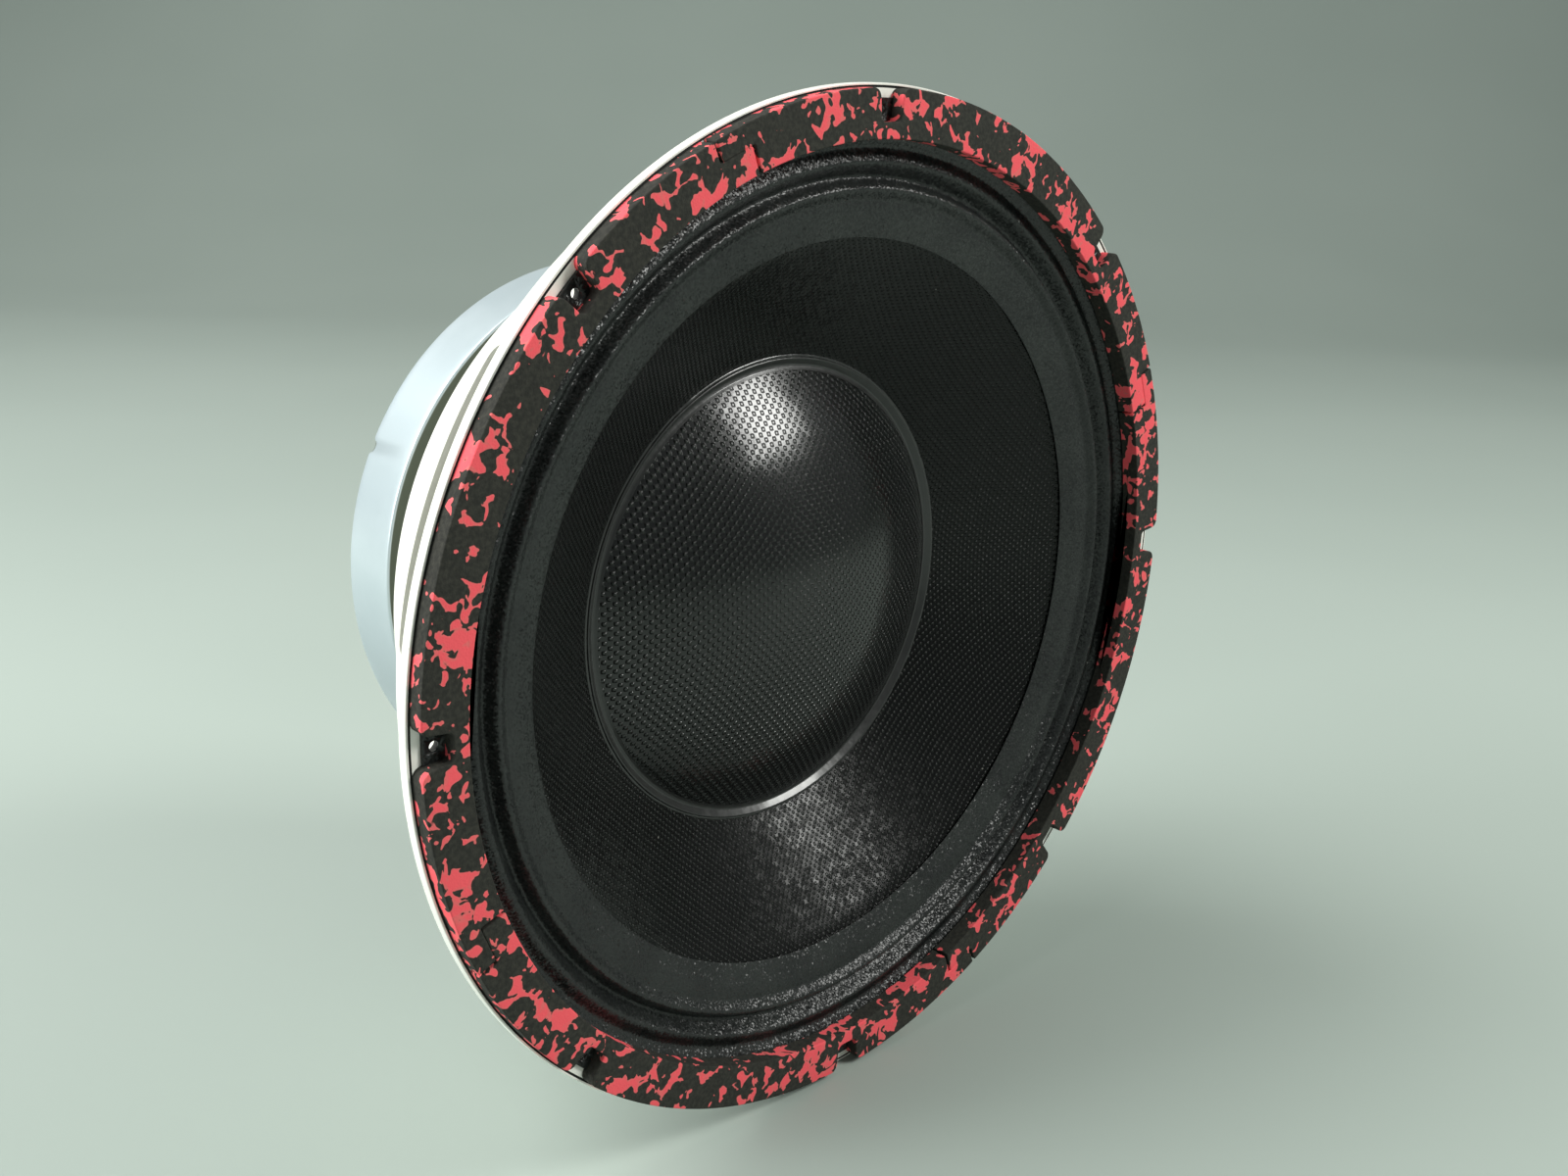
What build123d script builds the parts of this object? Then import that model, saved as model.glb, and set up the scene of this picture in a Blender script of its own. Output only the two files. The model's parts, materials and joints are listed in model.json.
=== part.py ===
"""Twelve-inch car subwoofer driver, as an assembly of separate pieces.

The driver's axis lies along Y. Its front faces -Y and +Z is up. The origin is the centre of
the bolt circle, on the rear face of the rim, which is the face that seats on a baffle.
A profile point is (radius, y), and every round piece is its profile turned about the Y axis.
All sizes are in millimetres, and y grows from the front to the back.
"""

import os
from math import asin, cos, degrees, hypot, pi, radians, sin

from build123d import *

# ---- driving dimensions --------------------------------------------------------------

RIM_R = 156.5             # outer radius of the basket's rim
RIM_THICKNESS = 4.0       # mounting face at y = 0, front face at y = -4
RIM_CHAMFER = 0.8
BOLT_COUNT = 8
BOLT_CIRCLE_R = 149.3
BOLT_HOLE_R = 2.8
WALL_R = 144.0            # outside of the cylindrical wall behind the rim
WALL_THICKNESS = 3.5
WALL_BACK_Y = 21.0        # where the cylindrical wall turns into the bowl
RECESS_R = 144.9          # recess in the rim's front, where the surround steps down
RECESS_FLOOR_Y = -1.2
RELIEF_R = 142.3          # relief behind the recess, clear of the surround
RELIEF_BACK_Y = 2.0
SLOT_FRONT_Y = 4.5        # cooling slots, between the rim and the bowl
SLOT_BACK_Y = 20.5
SLOT_ANGLE = 34.0

SHOULDER_R = 114.5        # rear shoulder of the bowl
SHOULDER_Y = 70.0
SPIDER_LEDGE_Y = 75.0     # ledge that the spider's outer lip is glued to
SPIDER_LEDGE_IN_R = 94.0
SPIDER_LEDGE_OUT_R = 105.5
BASKET_BACK_Y = 96.0      # rear face of the basket, bolted to the top plate
BASKET_FLOOR_Y = 92.5
BASKET_BACK_R = 88.0
BASKET_BORE_R = 52.0

GASKET_TOP_Y = -9.0
GASKET_OUT_R = 155.3
GASKET_IN_R = 141.6
GASKET_SKIRT_R = 143.1    # outside of the skirt that hides the surround's step
GASKET_SKIRT_Y = -3.05
GASKET_BEVEL = 1.2
GASKET_STEP_R = 149.4     # where the lap joint between two segments steps sideways
GASKET_LAP_ANGLE = 4.5
GASKET_JOINT_GAP = 0.4
GASKET_JOINT_ANGLE = 22.5  # the first joint, midway between two notches
GASKET_SEGMENTS = 4
NOTCH_BOTTOM_R = 146.2
NOTCH_WIDTH = 8.4
NOTCH_MOUTH_WIDTH = 15.0
NOTCH_CORNER_R = 1.6

CLOTH = 0.8               # thickness of the surround's treated cloth, along y
FLANGE_R = 152.6          # flange clamped between the rim and the gasket
FLANGE_Y = -4.9           # front of the flange
SURROUND_STEP = [(144.8, FLANGE_Y), (144.2, -4.6), (143.2, -3.0), (142.4, -2.4),
                 (141.4, -2.1), (140.2, -1.1)]
SURROUND_ROLLS = [(139.2, -0.5), (135.4, -2.0), (131.0, 2.2), (127.9, -1.3), (124.0, 0.9)]
LANDING_OUT = (122.6, 0.9)  # the landing glued to the cone's edge
LANDING_IN = (113.9, 4.25)

CONE_EDGE = (122.6, 1.9)   # front surface of the cone, from its edge to its neck
CONE_BEND = (113.9, 5.3)
CONE_SLOPE = 0.6955        # how far y grows for each millimetre of radius lost
CONE_WALL_Y = 1.7          # the cone wall's thickness, measured along y

DOME_R = 73.5
DOME_RISE = 24.0
DOME_WALL = 0.9
DOME_LIP_R = 75.6

FORMER_IN_R = 38.1
FORMER_WALL = 0.5
FORMER_BACK_Y = 113.0
WINDING_WALL = 1.5
WINDING_FRONT_Y = 90.0
WINDING_BACK_Y = 112.0

SPIDER_WALL = 0.9
SPIDER_OUT_R = 105.0
SPIDER_ROLL_OUT_R = 93.0
SPIDER_ROLL_IN_R = 43.0
SPIDER_ROLLS = 6
SPIDER_AMPLITUDE = 2.2
SPIDER_COLLAR_Y = 69.5

TOP_PLATE_R = 85.0
TOP_PLATE_BACK_Y = 106.0
TOP_PLATE_BORE_R = 41.1
MAGNET_R = 96.2
MAGNET_BORE_R = 49.0
MAGNET_BACK_Y = 129.0
BACK_PLATE_R = 84.0
BACK_PLATE_BACK_Y = 141.0
POLE_R = 37.2
POLE_FRONT_Y = 94.0
VENT_R = 15.0
SCREEN_SEAT_R = 18.0
SCREEN_DEPTH = 2.0

MOTOR_SCREW_COUNT = 6
MOTOR_SCREW_CIRCLE_R = 68.0
MOTOR_SCREW_R = 2.5
MOTOR_SCREW_HEAD_R = 4.2
MOTOR_SCREW_HEAD = 4.5
MOTOR_SCREW_REACH = 9.0    # how far the screw reaches into the top plate

PAD_FACE_X = 125.5         # flat pad on the bowl that carries the terminals
PAD_FRONT_Y = 51.5
PAD_BACK_Y = 77.5
PAD_HALF_Z = 29.0
HOUSING_DEPTH_X = 12.5
HOUSING_FRONT_Y = 53.0
HOUSING_BACK_Y = 76.5
HOUSING_HALF_Z = 27.0
TERMINAL_Z = 10.5          # a terminal is this far each side of the middle
BUTTON_Y = 60.5
BUTTON_R = 5.0
BUTTON_FLANGE_R = 6.2
BUTTON_PROUD = 4.0
POCKET_R = 6.6
WIRE_HOLE_R = 2.2
WIRE_HOLE_Y = 69.5
TERMINAL_SCREW_Z = 22.5
TERMINAL_SCREW_R = 1.5

LEAD_ANGLES = (-24.0, 24.0)  # where the tinsel leads meet the former
LEAD_R = 1.1
LUG_X = 103.0
LEAD_PAD_Y = 63.5          # where a lead meets its strip on the former
LEAD_DROOP_Y = 57.0

CLEARANCE = 0.1            # between pieces that are glued or seated together
BODY_GAP = 0.35            # between pieces that move against each other

HOUSING_OUTER_X = PAD_FACE_X + HOUSING_DEPTH_X


# ---- helpers -------------------------------------------------------------------------

def turned(points):
    """A closed outline of (radius, y) points, turned about the driver's axis."""
    outline = Polyline(*points, close=True)
    return revolve(make_face(outline), Axis.Y, 360)


def ring(inner_r, outer_r, front_y, back_y):
    """A plain ring about the driver's axis."""
    return turned([(inner_r, front_y), (outer_r, front_y), (outer_r, back_y), (inner_r, back_y)])


def rod(radius, front_y, back_y, x=0, z=0):
    """A round rod parallel to the driver's axis."""
    length = back_y - front_y
    middle = (front_y + back_y) / 2
    return Pos(x, middle, z) * Rot(90, 0, 0) * Cylinder(radius, length)


def rod_x(radius, x_from, x_to, y, z):
    """A round rod parallel to X."""
    middle = (x_from + x_to) / 2
    return Pos(middle, y, z) * Rot(0, 90, 0) * Cylinder(radius, x_to - x_from)


def block(x_range, y_range, z_range):
    """A box between two limits on each axis."""
    size = [high - low for low, high in (x_range, y_range, z_range)]
    middle = [(high + low) / 2 for low, high in (x_range, y_range, z_range)]
    return Pos(*middle) * Box(*size)


def turn(shape, angle):
    """The shape turned about the driver's axis, anticlockwise as seen from the front."""
    return Rot(0, -angle, 0) * shape


def on_circle(radius, angle):
    """The (x, z) of a point on a circle about the driver's axis."""
    return radius * cos(radians(angle)), radius * sin(radians(angle))


def sector(start, end, reach, front_y, back_y):
    """A wedge about the driver's axis, from one angle to another, in degrees."""
    steps = max(2, round((end - start) / 15) + 1)
    angles = [start + (end - start) * k / (steps - 1) for k in range(steps)]
    rim = [on_circle(reach / cos(radians((end - start) / (steps - 1) / 2)), a) for a in angles]
    plane = Plane(origin=(0, front_y, 0), x_dir=(1, 0, 0), z_dir=(0, -1, 0))
    face = plane * make_face(Polyline((0, 0), *rim, close=True))
    return extrude(face, back_y - front_y, dir=(0, 1, 0))


def wave(start, end, rolls, amplitude, middle_y, steps_per_roll=8):
    """Points of a cosine wave in radius, from one radius to another."""
    count = rolls * steps_per_roll
    points = []
    for k in range(count + 1):
        share = k / count
        radius = start + (end - start) * share
        points.append((radius, middle_y - amplitude * sin(2 * pi * rolls * share)))
    return points


def thickened(line, wall):
    """An outline made of a line of (radius, y) points and the same line moved back in y."""
    return list(line) + [(r, y + wall) for r, y in reversed(line)]


def eased(points, steps=8):
    """Points of a soft wave that levels off at each of the given crests and valleys."""
    line = [points[0]]
    for (r_from, y_from), (r_to, y_to) in zip(points, points[1:]):
        for k in range(1, steps + 1):
            share = k / steps
            rise = (1 - cos(pi * share)) / 2
            line.append((r_from + (r_to - r_from) * share, y_from + (y_to - y_from) * rise))
    return line


def bolt_places():
    """Centres of the bolt holes, the first on +X."""
    return [on_circle(BOLT_CIRCLE_R, k * 360 / BOLT_COUNT) for k in range(BOLT_COUNT)]


# ---- basket --------------------------------------------------------------------------

def frame_basket():
    """Cast basket: rim, recess, slotted wall, bowl, spider ledge and rear ring."""
    inner_wall_r = WALL_R - WALL_THICKNESS
    body = turned([
        (RIM_R - RIM_CHAMFER, -RIM_THICKNESS),
        (RIM_R, RIM_CHAMFER - RIM_THICKNESS),
        (RIM_R, -RIM_CHAMFER),
        (RIM_R - RIM_CHAMFER, 0),
        (WALL_R + 1, 0),
        (WALL_R, 1),
        (WALL_R, WALL_BACK_Y),
        (SHOULDER_R, SHOULDER_Y),
        (SHOULDER_R - 2, SHOULDER_Y + 5),
        (SHOULDER_R - 6.5, SHOULDER_Y + 9),
        (BASKET_BACK_R + 3, BASKET_FLOOR_Y - 1),
        (BASKET_BACK_R, BASKET_BACK_Y - 1),
        (BASKET_BACK_R - 1, BASKET_BACK_Y),
        (BASKET_BORE_R, BASKET_BACK_Y),
        (BASKET_BORE_R, BASKET_FLOOR_Y),
        (BASKET_BACK_R - 4, BASKET_FLOOR_Y),
        (SPIDER_LEDGE_IN_R, SPIDER_LEDGE_Y + 6),
        (SPIDER_LEDGE_IN_R, SPIDER_LEDGE_Y),
        (SPIDER_LEDGE_OUT_R, SPIDER_LEDGE_Y),
        (SHOULDER_R - 4, SHOULDER_Y - 1),
        (inner_wall_r, WALL_BACK_Y - 1),
        (inner_wall_r, RELIEF_BACK_Y),
        (RELIEF_R, RELIEF_BACK_Y),
        (RELIEF_R, RECESS_FLOOR_Y),
        (RECESS_R, RECESS_FLOOR_Y),
        (RECESS_R, -RIM_THICKNESS),
    ])
    body += terminal_pad()
    for x, z in bolt_places():
        body -= rod(BOLT_HOLE_R, -RIM_THICKNESS - 1, 1, x, z)
    for k in range(BOLT_COUNT):
        middle = (k + 0.5) * 360 / BOLT_COUNT
        half = SLOT_ANGLE / 2
        slot = sector(middle - half, middle + half, WALL_R + 4, SLOT_FRONT_Y, SLOT_BACK_Y)
        body -= slot - rod(inner_wall_r - 4, SLOT_FRONT_Y - 1, SLOT_BACK_Y + 1)
    for x, z in motor_screw_places():
        body -= rod(MOTOR_SCREW_R + CLEARANCE, BASKET_FLOOR_Y - 1, BASKET_BACK_Y + 1, x, z)
    for side in (-1, 1):
        body -= rod_x(WIRE_HOLE_R + 1, PAD_FACE_X - 25, PAD_FACE_X + 1, WIRE_HOLE_Y, side * TERMINAL_Z)
        body -= rod_x(TERMINAL_SCREW_R + CLEARANCE, PAD_FACE_X - 8, PAD_FACE_X + 1,
                      BUTTON_Y, side * TERMINAL_SCREW_Z)
    return body


def terminal_pad():
    """Flat-faced pad that stands out of the bowl and carries the terminals."""
    pad = block((100, PAD_FACE_X), (PAD_FRONT_Y, PAD_BACK_Y), (-PAD_HALF_Z, PAD_HALF_Z))
    inside = turned([
        (0, 0),
        (WALL_R - WALL_THICKNESS, 0),
        (WALL_R - WALL_THICKNESS, WALL_BACK_Y - 1),
        (SHOULDER_R - 4, SHOULDER_Y - 1),
        (SPIDER_LEDGE_OUT_R, SPIDER_LEDGE_Y),
        (0, SPIDER_LEDGE_Y),
    ])
    return pad - inside


# ---- gasket --------------------------------------------------------------------------

def gasket_ring():
    """The whole gasket before it is cut into segments, stepped over the surround's flange."""
    base_y = FLANGE_Y - CLEARANCE
    return turned([
        (GASKET_IN_R, GASKET_SKIRT_Y),
        (GASKET_IN_R, GASKET_TOP_Y + GASKET_BEVEL),
        (GASKET_IN_R + GASKET_BEVEL, GASKET_TOP_Y),
        (GASKET_OUT_R - GASKET_BEVEL, GASKET_TOP_Y),
        (GASKET_OUT_R, GASKET_TOP_Y + GASKET_BEVEL),
        (GASKET_OUT_R, -RIM_THICKNESS),
        (FLANGE_R + CLEARANCE, -RIM_THICKNESS),
        (FLANGE_R + CLEARANCE, base_y),
        (GASKET_SKIRT_R, base_y),
        (GASKET_SKIRT_R, GASKET_SKIRT_Y),
    ])


def bolt_notch(angle):
    """A notch in the gasket's outer edge that uncovers one bolt hole."""
    half = NOTCH_WIDTH / 2
    mouth = NOTCH_MOUTH_WIDTH / 2
    corner = NOTCH_CORNER_R
    outline = Polyline(
        (NOTCH_BOTTOM_R, half - corner),
        (NOTCH_BOTTOM_R + corner, half),
        (GASKET_OUT_R - 3.2, half),
        (GASKET_OUT_R - 1.0, half + 1.2),
        (GASKET_OUT_R + 1.0, mouth),
        (GASKET_OUT_R + 1.0, -mouth),
        (GASKET_OUT_R - 1.0, -half - 1.2),
        (GASKET_OUT_R - 3.2, -half),
        (NOTCH_BOTTOM_R + corner, -half),
        (NOTCH_BOTTOM_R, corner - half),
        close=True,
    )
    plane = Plane(origin=(0, GASKET_TOP_Y - 1, 0), x_dir=(1, 0, 0), z_dir=(0, -1, 0))
    cutter = extrude(plane * make_face(outline), 12, dir=(0, 1, 0))
    return turn(cutter, angle)


def gasket_segment(index):
    """One quarter of the gasket, with two notches and a lap step at each end."""
    pitch = 360 / GASKET_SEGMENTS
    trim = degrees(GASKET_JOINT_GAP / 2 / GASKET_STEP_R)
    start = GASKET_JOINT_ANGLE + index * pitch + trim
    end = start + pitch - 2 * trim
    lap = GASKET_LAP_ANGLE / 2
    span = (GASKET_TOP_Y - 1, 1)
    inner = sector(start - lap, end - lap, GASKET_OUT_R + 5, *span)
    inner &= rod(GASKET_STEP_R, *span)
    outer = sector(start + lap, end + lap, GASKET_OUT_R + 5, *span)
    outer -= rod(GASKET_STEP_R, GASKET_TOP_Y - 2, 2)
    piece = gasket_ring() & (inner + outer)
    for k in range(BOLT_COUNT):
        piece -= bolt_notch(k * 360 / BOLT_COUNT)
    return piece


# ---- soft suspension -----------------------------------------------------------------

def surround():
    """Treated cloth ring: clamped flange, a step down, two soft rolls and a landing."""
    line = [(FLANGE_R, FLANGE_Y), *SURROUND_STEP, *eased(SURROUND_ROLLS), LANDING_OUT, LANDING_IN]
    cloth = turned(thickened(line, CLOTH))
    for x, z in bolt_places():
        cloth -= rod(BOLT_HOLE_R, FLANGE_Y - 1, RECESS_FLOOR_Y, x, z)
    return cloth


def spider():
    """Corrugated cloth disc that centres the coil, from the basket's ledge to the former."""
    lip_y = SPIDER_LEDGE_Y - SPIDER_WALL - CLEARANCE
    former_gap_r = FORMER_IN_R + FORMER_WALL + BODY_GAP
    line = [(SPIDER_OUT_R, lip_y), (SPIDER_ROLL_OUT_R + 0.5, lip_y)]
    line += wave(SPIDER_ROLL_OUT_R, SPIDER_ROLL_IN_R, SPIDER_ROLLS, SPIDER_AMPLITUDE, lip_y)
    line += [(former_gap_r + 1, lip_y - 1), (former_gap_r + 1, SPIDER_COLLAR_Y)]
    line += [(former_gap_r, SPIDER_COLLAR_Y), (former_gap_r, lip_y + SPIDER_WALL)]
    back = [(r, y + SPIDER_WALL) for r, y in wave(SPIDER_ROLL_OUT_R, SPIDER_ROLL_IN_R,
                                                  SPIDER_ROLLS, SPIDER_AMPLITUDE, lip_y)]
    line += reversed(back)
    line += [(SPIDER_ROLL_OUT_R + 0.5, lip_y + SPIDER_WALL), (SPIDER_OUT_R, lip_y + SPIDER_WALL)]
    return turned(line)


# ---- cone and coil -------------------------------------------------------------------

def cone_y(radius):
    """The cone's front surface at a radius inside the bend."""
    return CONE_BEND[1] + (CONE_BEND[0] - radius) * CONE_SLOPE


def cone():
    """Straight-sided cone with a flatter edge under the surround's landing."""
    neck_r = FORMER_IN_R + FORMER_WALL + CLEARANCE
    line = [CONE_EDGE, CONE_BEND, (neck_r, cone_y(neck_r))]
    return turned(thickened(line, CONE_WALL_Y))


def dust_cap():
    """Shallow dome glued over the middle of the cone, with a narrow lip at its edge."""
    sphere_r = (DOME_R ** 2 + DOME_RISE ** 2) / (2 * DOME_RISE)
    rim_y = cone_y(DOME_R) - DOME_WALL - CLEARANCE
    centre_y = rim_y - DOME_RISE + sphere_r
    steps = 14
    edge = asin(DOME_R / sphere_r)
    front = [(sphere_r * sin(edge * k / steps), centre_y - sphere_r * cos(edge * k / steps))
             for k in range(steps + 1)]
    lip = (DOME_LIP_R, rim_y - (DOME_LIP_R - DOME_R) * CONE_SLOPE)
    return turned(thickened(front + [lip], DOME_WALL))


def voice_coil_former():
    """Thin tube that joins the cone's neck to the winding."""
    front_y = cone_y(FORMER_IN_R) - 1.0
    return ring(FORMER_IN_R, FORMER_IN_R + FORMER_WALL, front_y, FORMER_BACK_Y)


def voice_coil_winding():
    """Copper winding on the rear end of the former."""
    inner_r = FORMER_IN_R + FORMER_WALL + CLEARANCE / 2
    return ring(inner_r, inner_r + WINDING_WALL, WINDING_FRONT_Y, WINDING_BACK_Y)


def coil_leadouts():
    """Two flat copper strips that run up the former from the winding to the tinsel leads."""
    inner_r = FORMER_IN_R + FORMER_WALL + CLEARANCE / 2
    strips = Compound([])
    for angle in LEAD_ANGLES:
        band = ring(inner_r, inner_r + 0.25, 61.0, WINDING_FRONT_Y)
        strips += band & sector(angle - 3, angle + 3, 60, 50, 100)
    return strips


# ---- motor ---------------------------------------------------------------------------

def motor_screw_places():
    """Centres of the screws that hold the basket to the top plate."""
    pitch = 360 / MOTOR_SCREW_COUNT
    return [on_circle(MOTOR_SCREW_CIRCLE_R, (k + 0.5) * pitch) for k in range(MOTOR_SCREW_COUNT)]


def top_plate():
    """Steel ring in front of the magnet, bored for the winding."""
    edge = 1.0
    plate = turned([
        (TOP_PLATE_BORE_R, BASKET_BACK_Y),
        (TOP_PLATE_R - edge, BASKET_BACK_Y),
        (TOP_PLATE_R, BASKET_BACK_Y + edge),
        (TOP_PLATE_R, TOP_PLATE_BACK_Y),
        (TOP_PLATE_BORE_R, TOP_PLATE_BACK_Y),
    ])
    for x, z in motor_screw_places():
        plate -= rod(MOTOR_SCREW_R, BASKET_BACK_Y - 1, BASKET_BACK_Y + MOTOR_SCREW_REACH, x, z)
    return plate


def magnet_ring():
    """Ferrite ring between the two steel plates, with eased edges."""
    edge = 0.9
    return turned([
        (MAGNET_BORE_R, TOP_PLATE_BACK_Y),
        (MAGNET_R - edge, TOP_PLATE_BACK_Y),
        (MAGNET_R, TOP_PLATE_BACK_Y + edge),
        (MAGNET_R, MAGNET_BACK_Y - edge),
        (MAGNET_R - edge, MAGNET_BACK_Y),
        (MAGNET_BORE_R, MAGNET_BACK_Y),
    ])


def yoke():
    """Back plate and pole in one piece, with a vent along the axis."""
    edge = 2.0
    return turned([
        (VENT_R + 3, POLE_FRONT_Y),
        (POLE_R - 1, POLE_FRONT_Y),
        (POLE_R, POLE_FRONT_Y + 1),
        (POLE_R, MAGNET_BACK_Y),
        (BACK_PLATE_R, MAGNET_BACK_Y),
        (BACK_PLATE_R, BACK_PLATE_BACK_Y - edge),
        (BACK_PLATE_R - edge, BACK_PLATE_BACK_Y),
        (SCREEN_SEAT_R, BACK_PLATE_BACK_Y),
        (SCREEN_SEAT_R, BACK_PLATE_BACK_Y - SCREEN_DEPTH),
        (VENT_R, BACK_PLATE_BACK_Y - SCREEN_DEPTH),
        (VENT_R, POLE_FRONT_Y + 6),
    ])


def pole_vent_screen():
    """Perforated disc in the rear mouth of the vent."""
    front_y = BACK_PLATE_BACK_Y - SCREEN_DEPTH + CLEARANCE
    screen = rod(SCREEN_SEAT_R - CLEARANCE, front_y, front_y + 1.0)
    pitch = 4.2
    hole_r = 1.35
    for row in range(-3, 4):
        for column in range(-3, 4):
            x = (column + row % 2 / 2) * pitch
            z = row * pitch * sin(radians(60))
            if hypot(x, z) < SCREEN_SEAT_R - 4:
                screen -= rod(hole_r, front_y - 1, front_y + 2, x, z)
    return screen


def motor_screws():
    """Socket-head screws from inside the basket into the top plate."""
    screws = Compound([])
    tip_y = BASKET_BACK_Y + MOTOR_SCREW_REACH - 1
    for x, z in motor_screw_places():
        screw = rod(MOTOR_SCREW_R - 0.05, BASKET_FLOOR_Y, tip_y, x, z)
        screw += rod(MOTOR_SCREW_HEAD_R, BASKET_FLOOR_Y - MOTOR_SCREW_HEAD, BASKET_FLOOR_Y, x, z)
        socket = Pos(x, BASKET_FLOOR_Y - MOTOR_SCREW_HEAD, z) * Rot(90, 0, 0)
        screw -= socket * extrude(RegularPolygon(2.3, 6), 2.5, both=True)
        screws += screw
    return screws


# ---- terminals -----------------------------------------------------------------------

def terminal_housing():
    """Moulded block on the pad, with a pocket for each button and a hole for each wire."""
    housing = block((PAD_FACE_X, HOUSING_OUTER_X), (HOUSING_FRONT_Y, HOUSING_BACK_Y),
                    (-HOUSING_HALF_Z, HOUSING_HALF_Z))
    housing = chamfer(housing.edges().group_by(Axis.X)[-1], 1.2)
    for side in (-1, 1):
        z = side * TERMINAL_Z
        housing -= rod_x(POCKET_R, PAD_FACE_X + 2, HOUSING_OUTER_X - 2, BUTTON_Y, z)
        housing -= rod_x(BUTTON_R + BODY_GAP, HOUSING_OUTER_X - 3, HOUSING_OUTER_X + 1, BUTTON_Y, z)
        housing -= rod(WIRE_HOLE_R, BUTTON_Y, HOUSING_BACK_Y + 1, PAD_FACE_X + 6, z)
        housing -= rod_x(WIRE_HOLE_R, PAD_FACE_X - 1, PAD_FACE_X + 4, WIRE_HOLE_Y, z)
        screw_z = side * TERMINAL_SCREW_Z
        housing -= rod_x(TERMINAL_SCREW_R + CLEARANCE, PAD_FACE_X - 1, HOUSING_OUTER_X + 1,
                         BUTTON_Y, screw_z)
        housing -= rod_x(3.1, HOUSING_OUTER_X - 2.5, HOUSING_OUTER_X + 1, BUTTON_Y, screw_z)
    return housing


def terminal_button(side):
    """Push button with a flange that keeps it in its pocket."""
    z = side * TERMINAL_Z
    back_x = HOUSING_OUTER_X - 2 - BODY_GAP
    button = rod_x(BUTTON_R, back_x - 1, HOUSING_OUTER_X + BUTTON_PROUD, BUTTON_Y, z)
    button = chamfer(button.edges().group_by(Axis.X)[-1], 0.8)
    button += rod_x(BUTTON_FLANGE_R, back_x - 1.6, back_x, BUTTON_Y, z)
    return button


def terminal_spring(side):
    """Coil spring under a button, kept as the plain sleeve that its turns fill."""
    z = side * TERMINAL_Z
    back_x = HOUSING_OUTER_X - 2 - 2 * BODY_GAP - 1.6
    floor_x = PAD_FACE_X + 2 + CLEARANCE
    sleeve = rod_x(4.2, floor_x, back_x, BUTTON_Y, z)
    return sleeve - rod_x(3.2, floor_x - 1, back_x + 1, BUTTON_Y, z)


def terminal_contact(side):
    """Brass strip from the wire's socket through the bowl to the tinsel lead."""
    z = side * TERMINAL_Z
    inner_x = LUG_X
    strip = block((inner_x, PAD_FACE_X + 3.4), (WIRE_HOLE_Y - 0.4, WIRE_HOLE_Y + 0.4),
                  (z - 1.6, z + 1.6))
    lug = rod(2.9, WIRE_HOLE_Y - 0.4, WIRE_HOLE_Y + 0.4, inner_x, z)
    return strip + lug


def terminal_screws():
    """Two small screws that hold the housing to the pad."""
    screws = Compound([])
    for side in (-1, 1):
        z = side * TERMINAL_SCREW_Z
        screw = rod_x(TERMINAL_SCREW_R, PAD_FACE_X - 7, HOUSING_OUTER_X - 2.4, BUTTON_Y, z)
        screw += rod_x(2.8, HOUSING_OUTER_X - 2.4, HOUSING_OUTER_X - 0.6, BUTTON_Y, z)
        slot = block((HOUSING_OUTER_X - 1.3, HOUSING_OUTER_X), (BUTTON_Y - 0.4, BUTTON_Y + 0.4),
                     (z - 4, z + 4))
        screws += screw - slot
    return screws


# ---- tinsel leads --------------------------------------------------------------------


def tinsel_lead(side):
    """Braided lead that hangs in one loop between the terminal's lug and the former."""
    z = side * TERMINAL_Z
    former_r = FORMER_IN_R + FORMER_WALL + 0.3 + BODY_GAP + LEAD_R
    x_end, z_end = on_circle(former_r, side * LEAD_ANGLES[1])
    reach_x = (LUG_X + x_end) / 2
    route = [
        (LUG_X, WIRE_HOLE_Y - 0.5, z),
        (LUG_X, WIRE_HOLE_Y - 10, z),
        (LUG_X - 11, LEAD_DROOP_Y - 5, z + side * 3),
        (reach_x + 4, LEAD_DROOP_Y - 3.5, z + side * 7),
        (reach_x - 12, LEAD_DROOP_Y + 3, (z + z_end) / 2 + side * 7),
        (x_end + 6, LEAD_PAD_Y + 2, z_end + side * 2.7),
        (x_end, LEAD_PAD_Y + 1, z_end),
    ]
    line = FilletPolyline(*route, radius=lead_bends(route))
    section = Plane(origin=route[0], z_dir=(0, -1, 0)) * Circle(LEAD_R)
    return sweep(section, path=line)


def lead_bends(route):
    """The largest arc that each corner of a route has room for."""
    bends = []
    for before, here, after in zip(route, route[1:], route[2:]):
        run_in = Vector(*here) - Vector(*before)
        run_out = Vector(*after) - Vector(*here)
        half_turn = radians(run_in.get_angle(run_out)) / 2
        shorter = min(run_in.length, run_out.length)
        bends.append(0.45 * shorter * cos(half_turn) / sin(half_turn))
    return bends


# ---- the assembly --------------------------------------------------------------------

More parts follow.
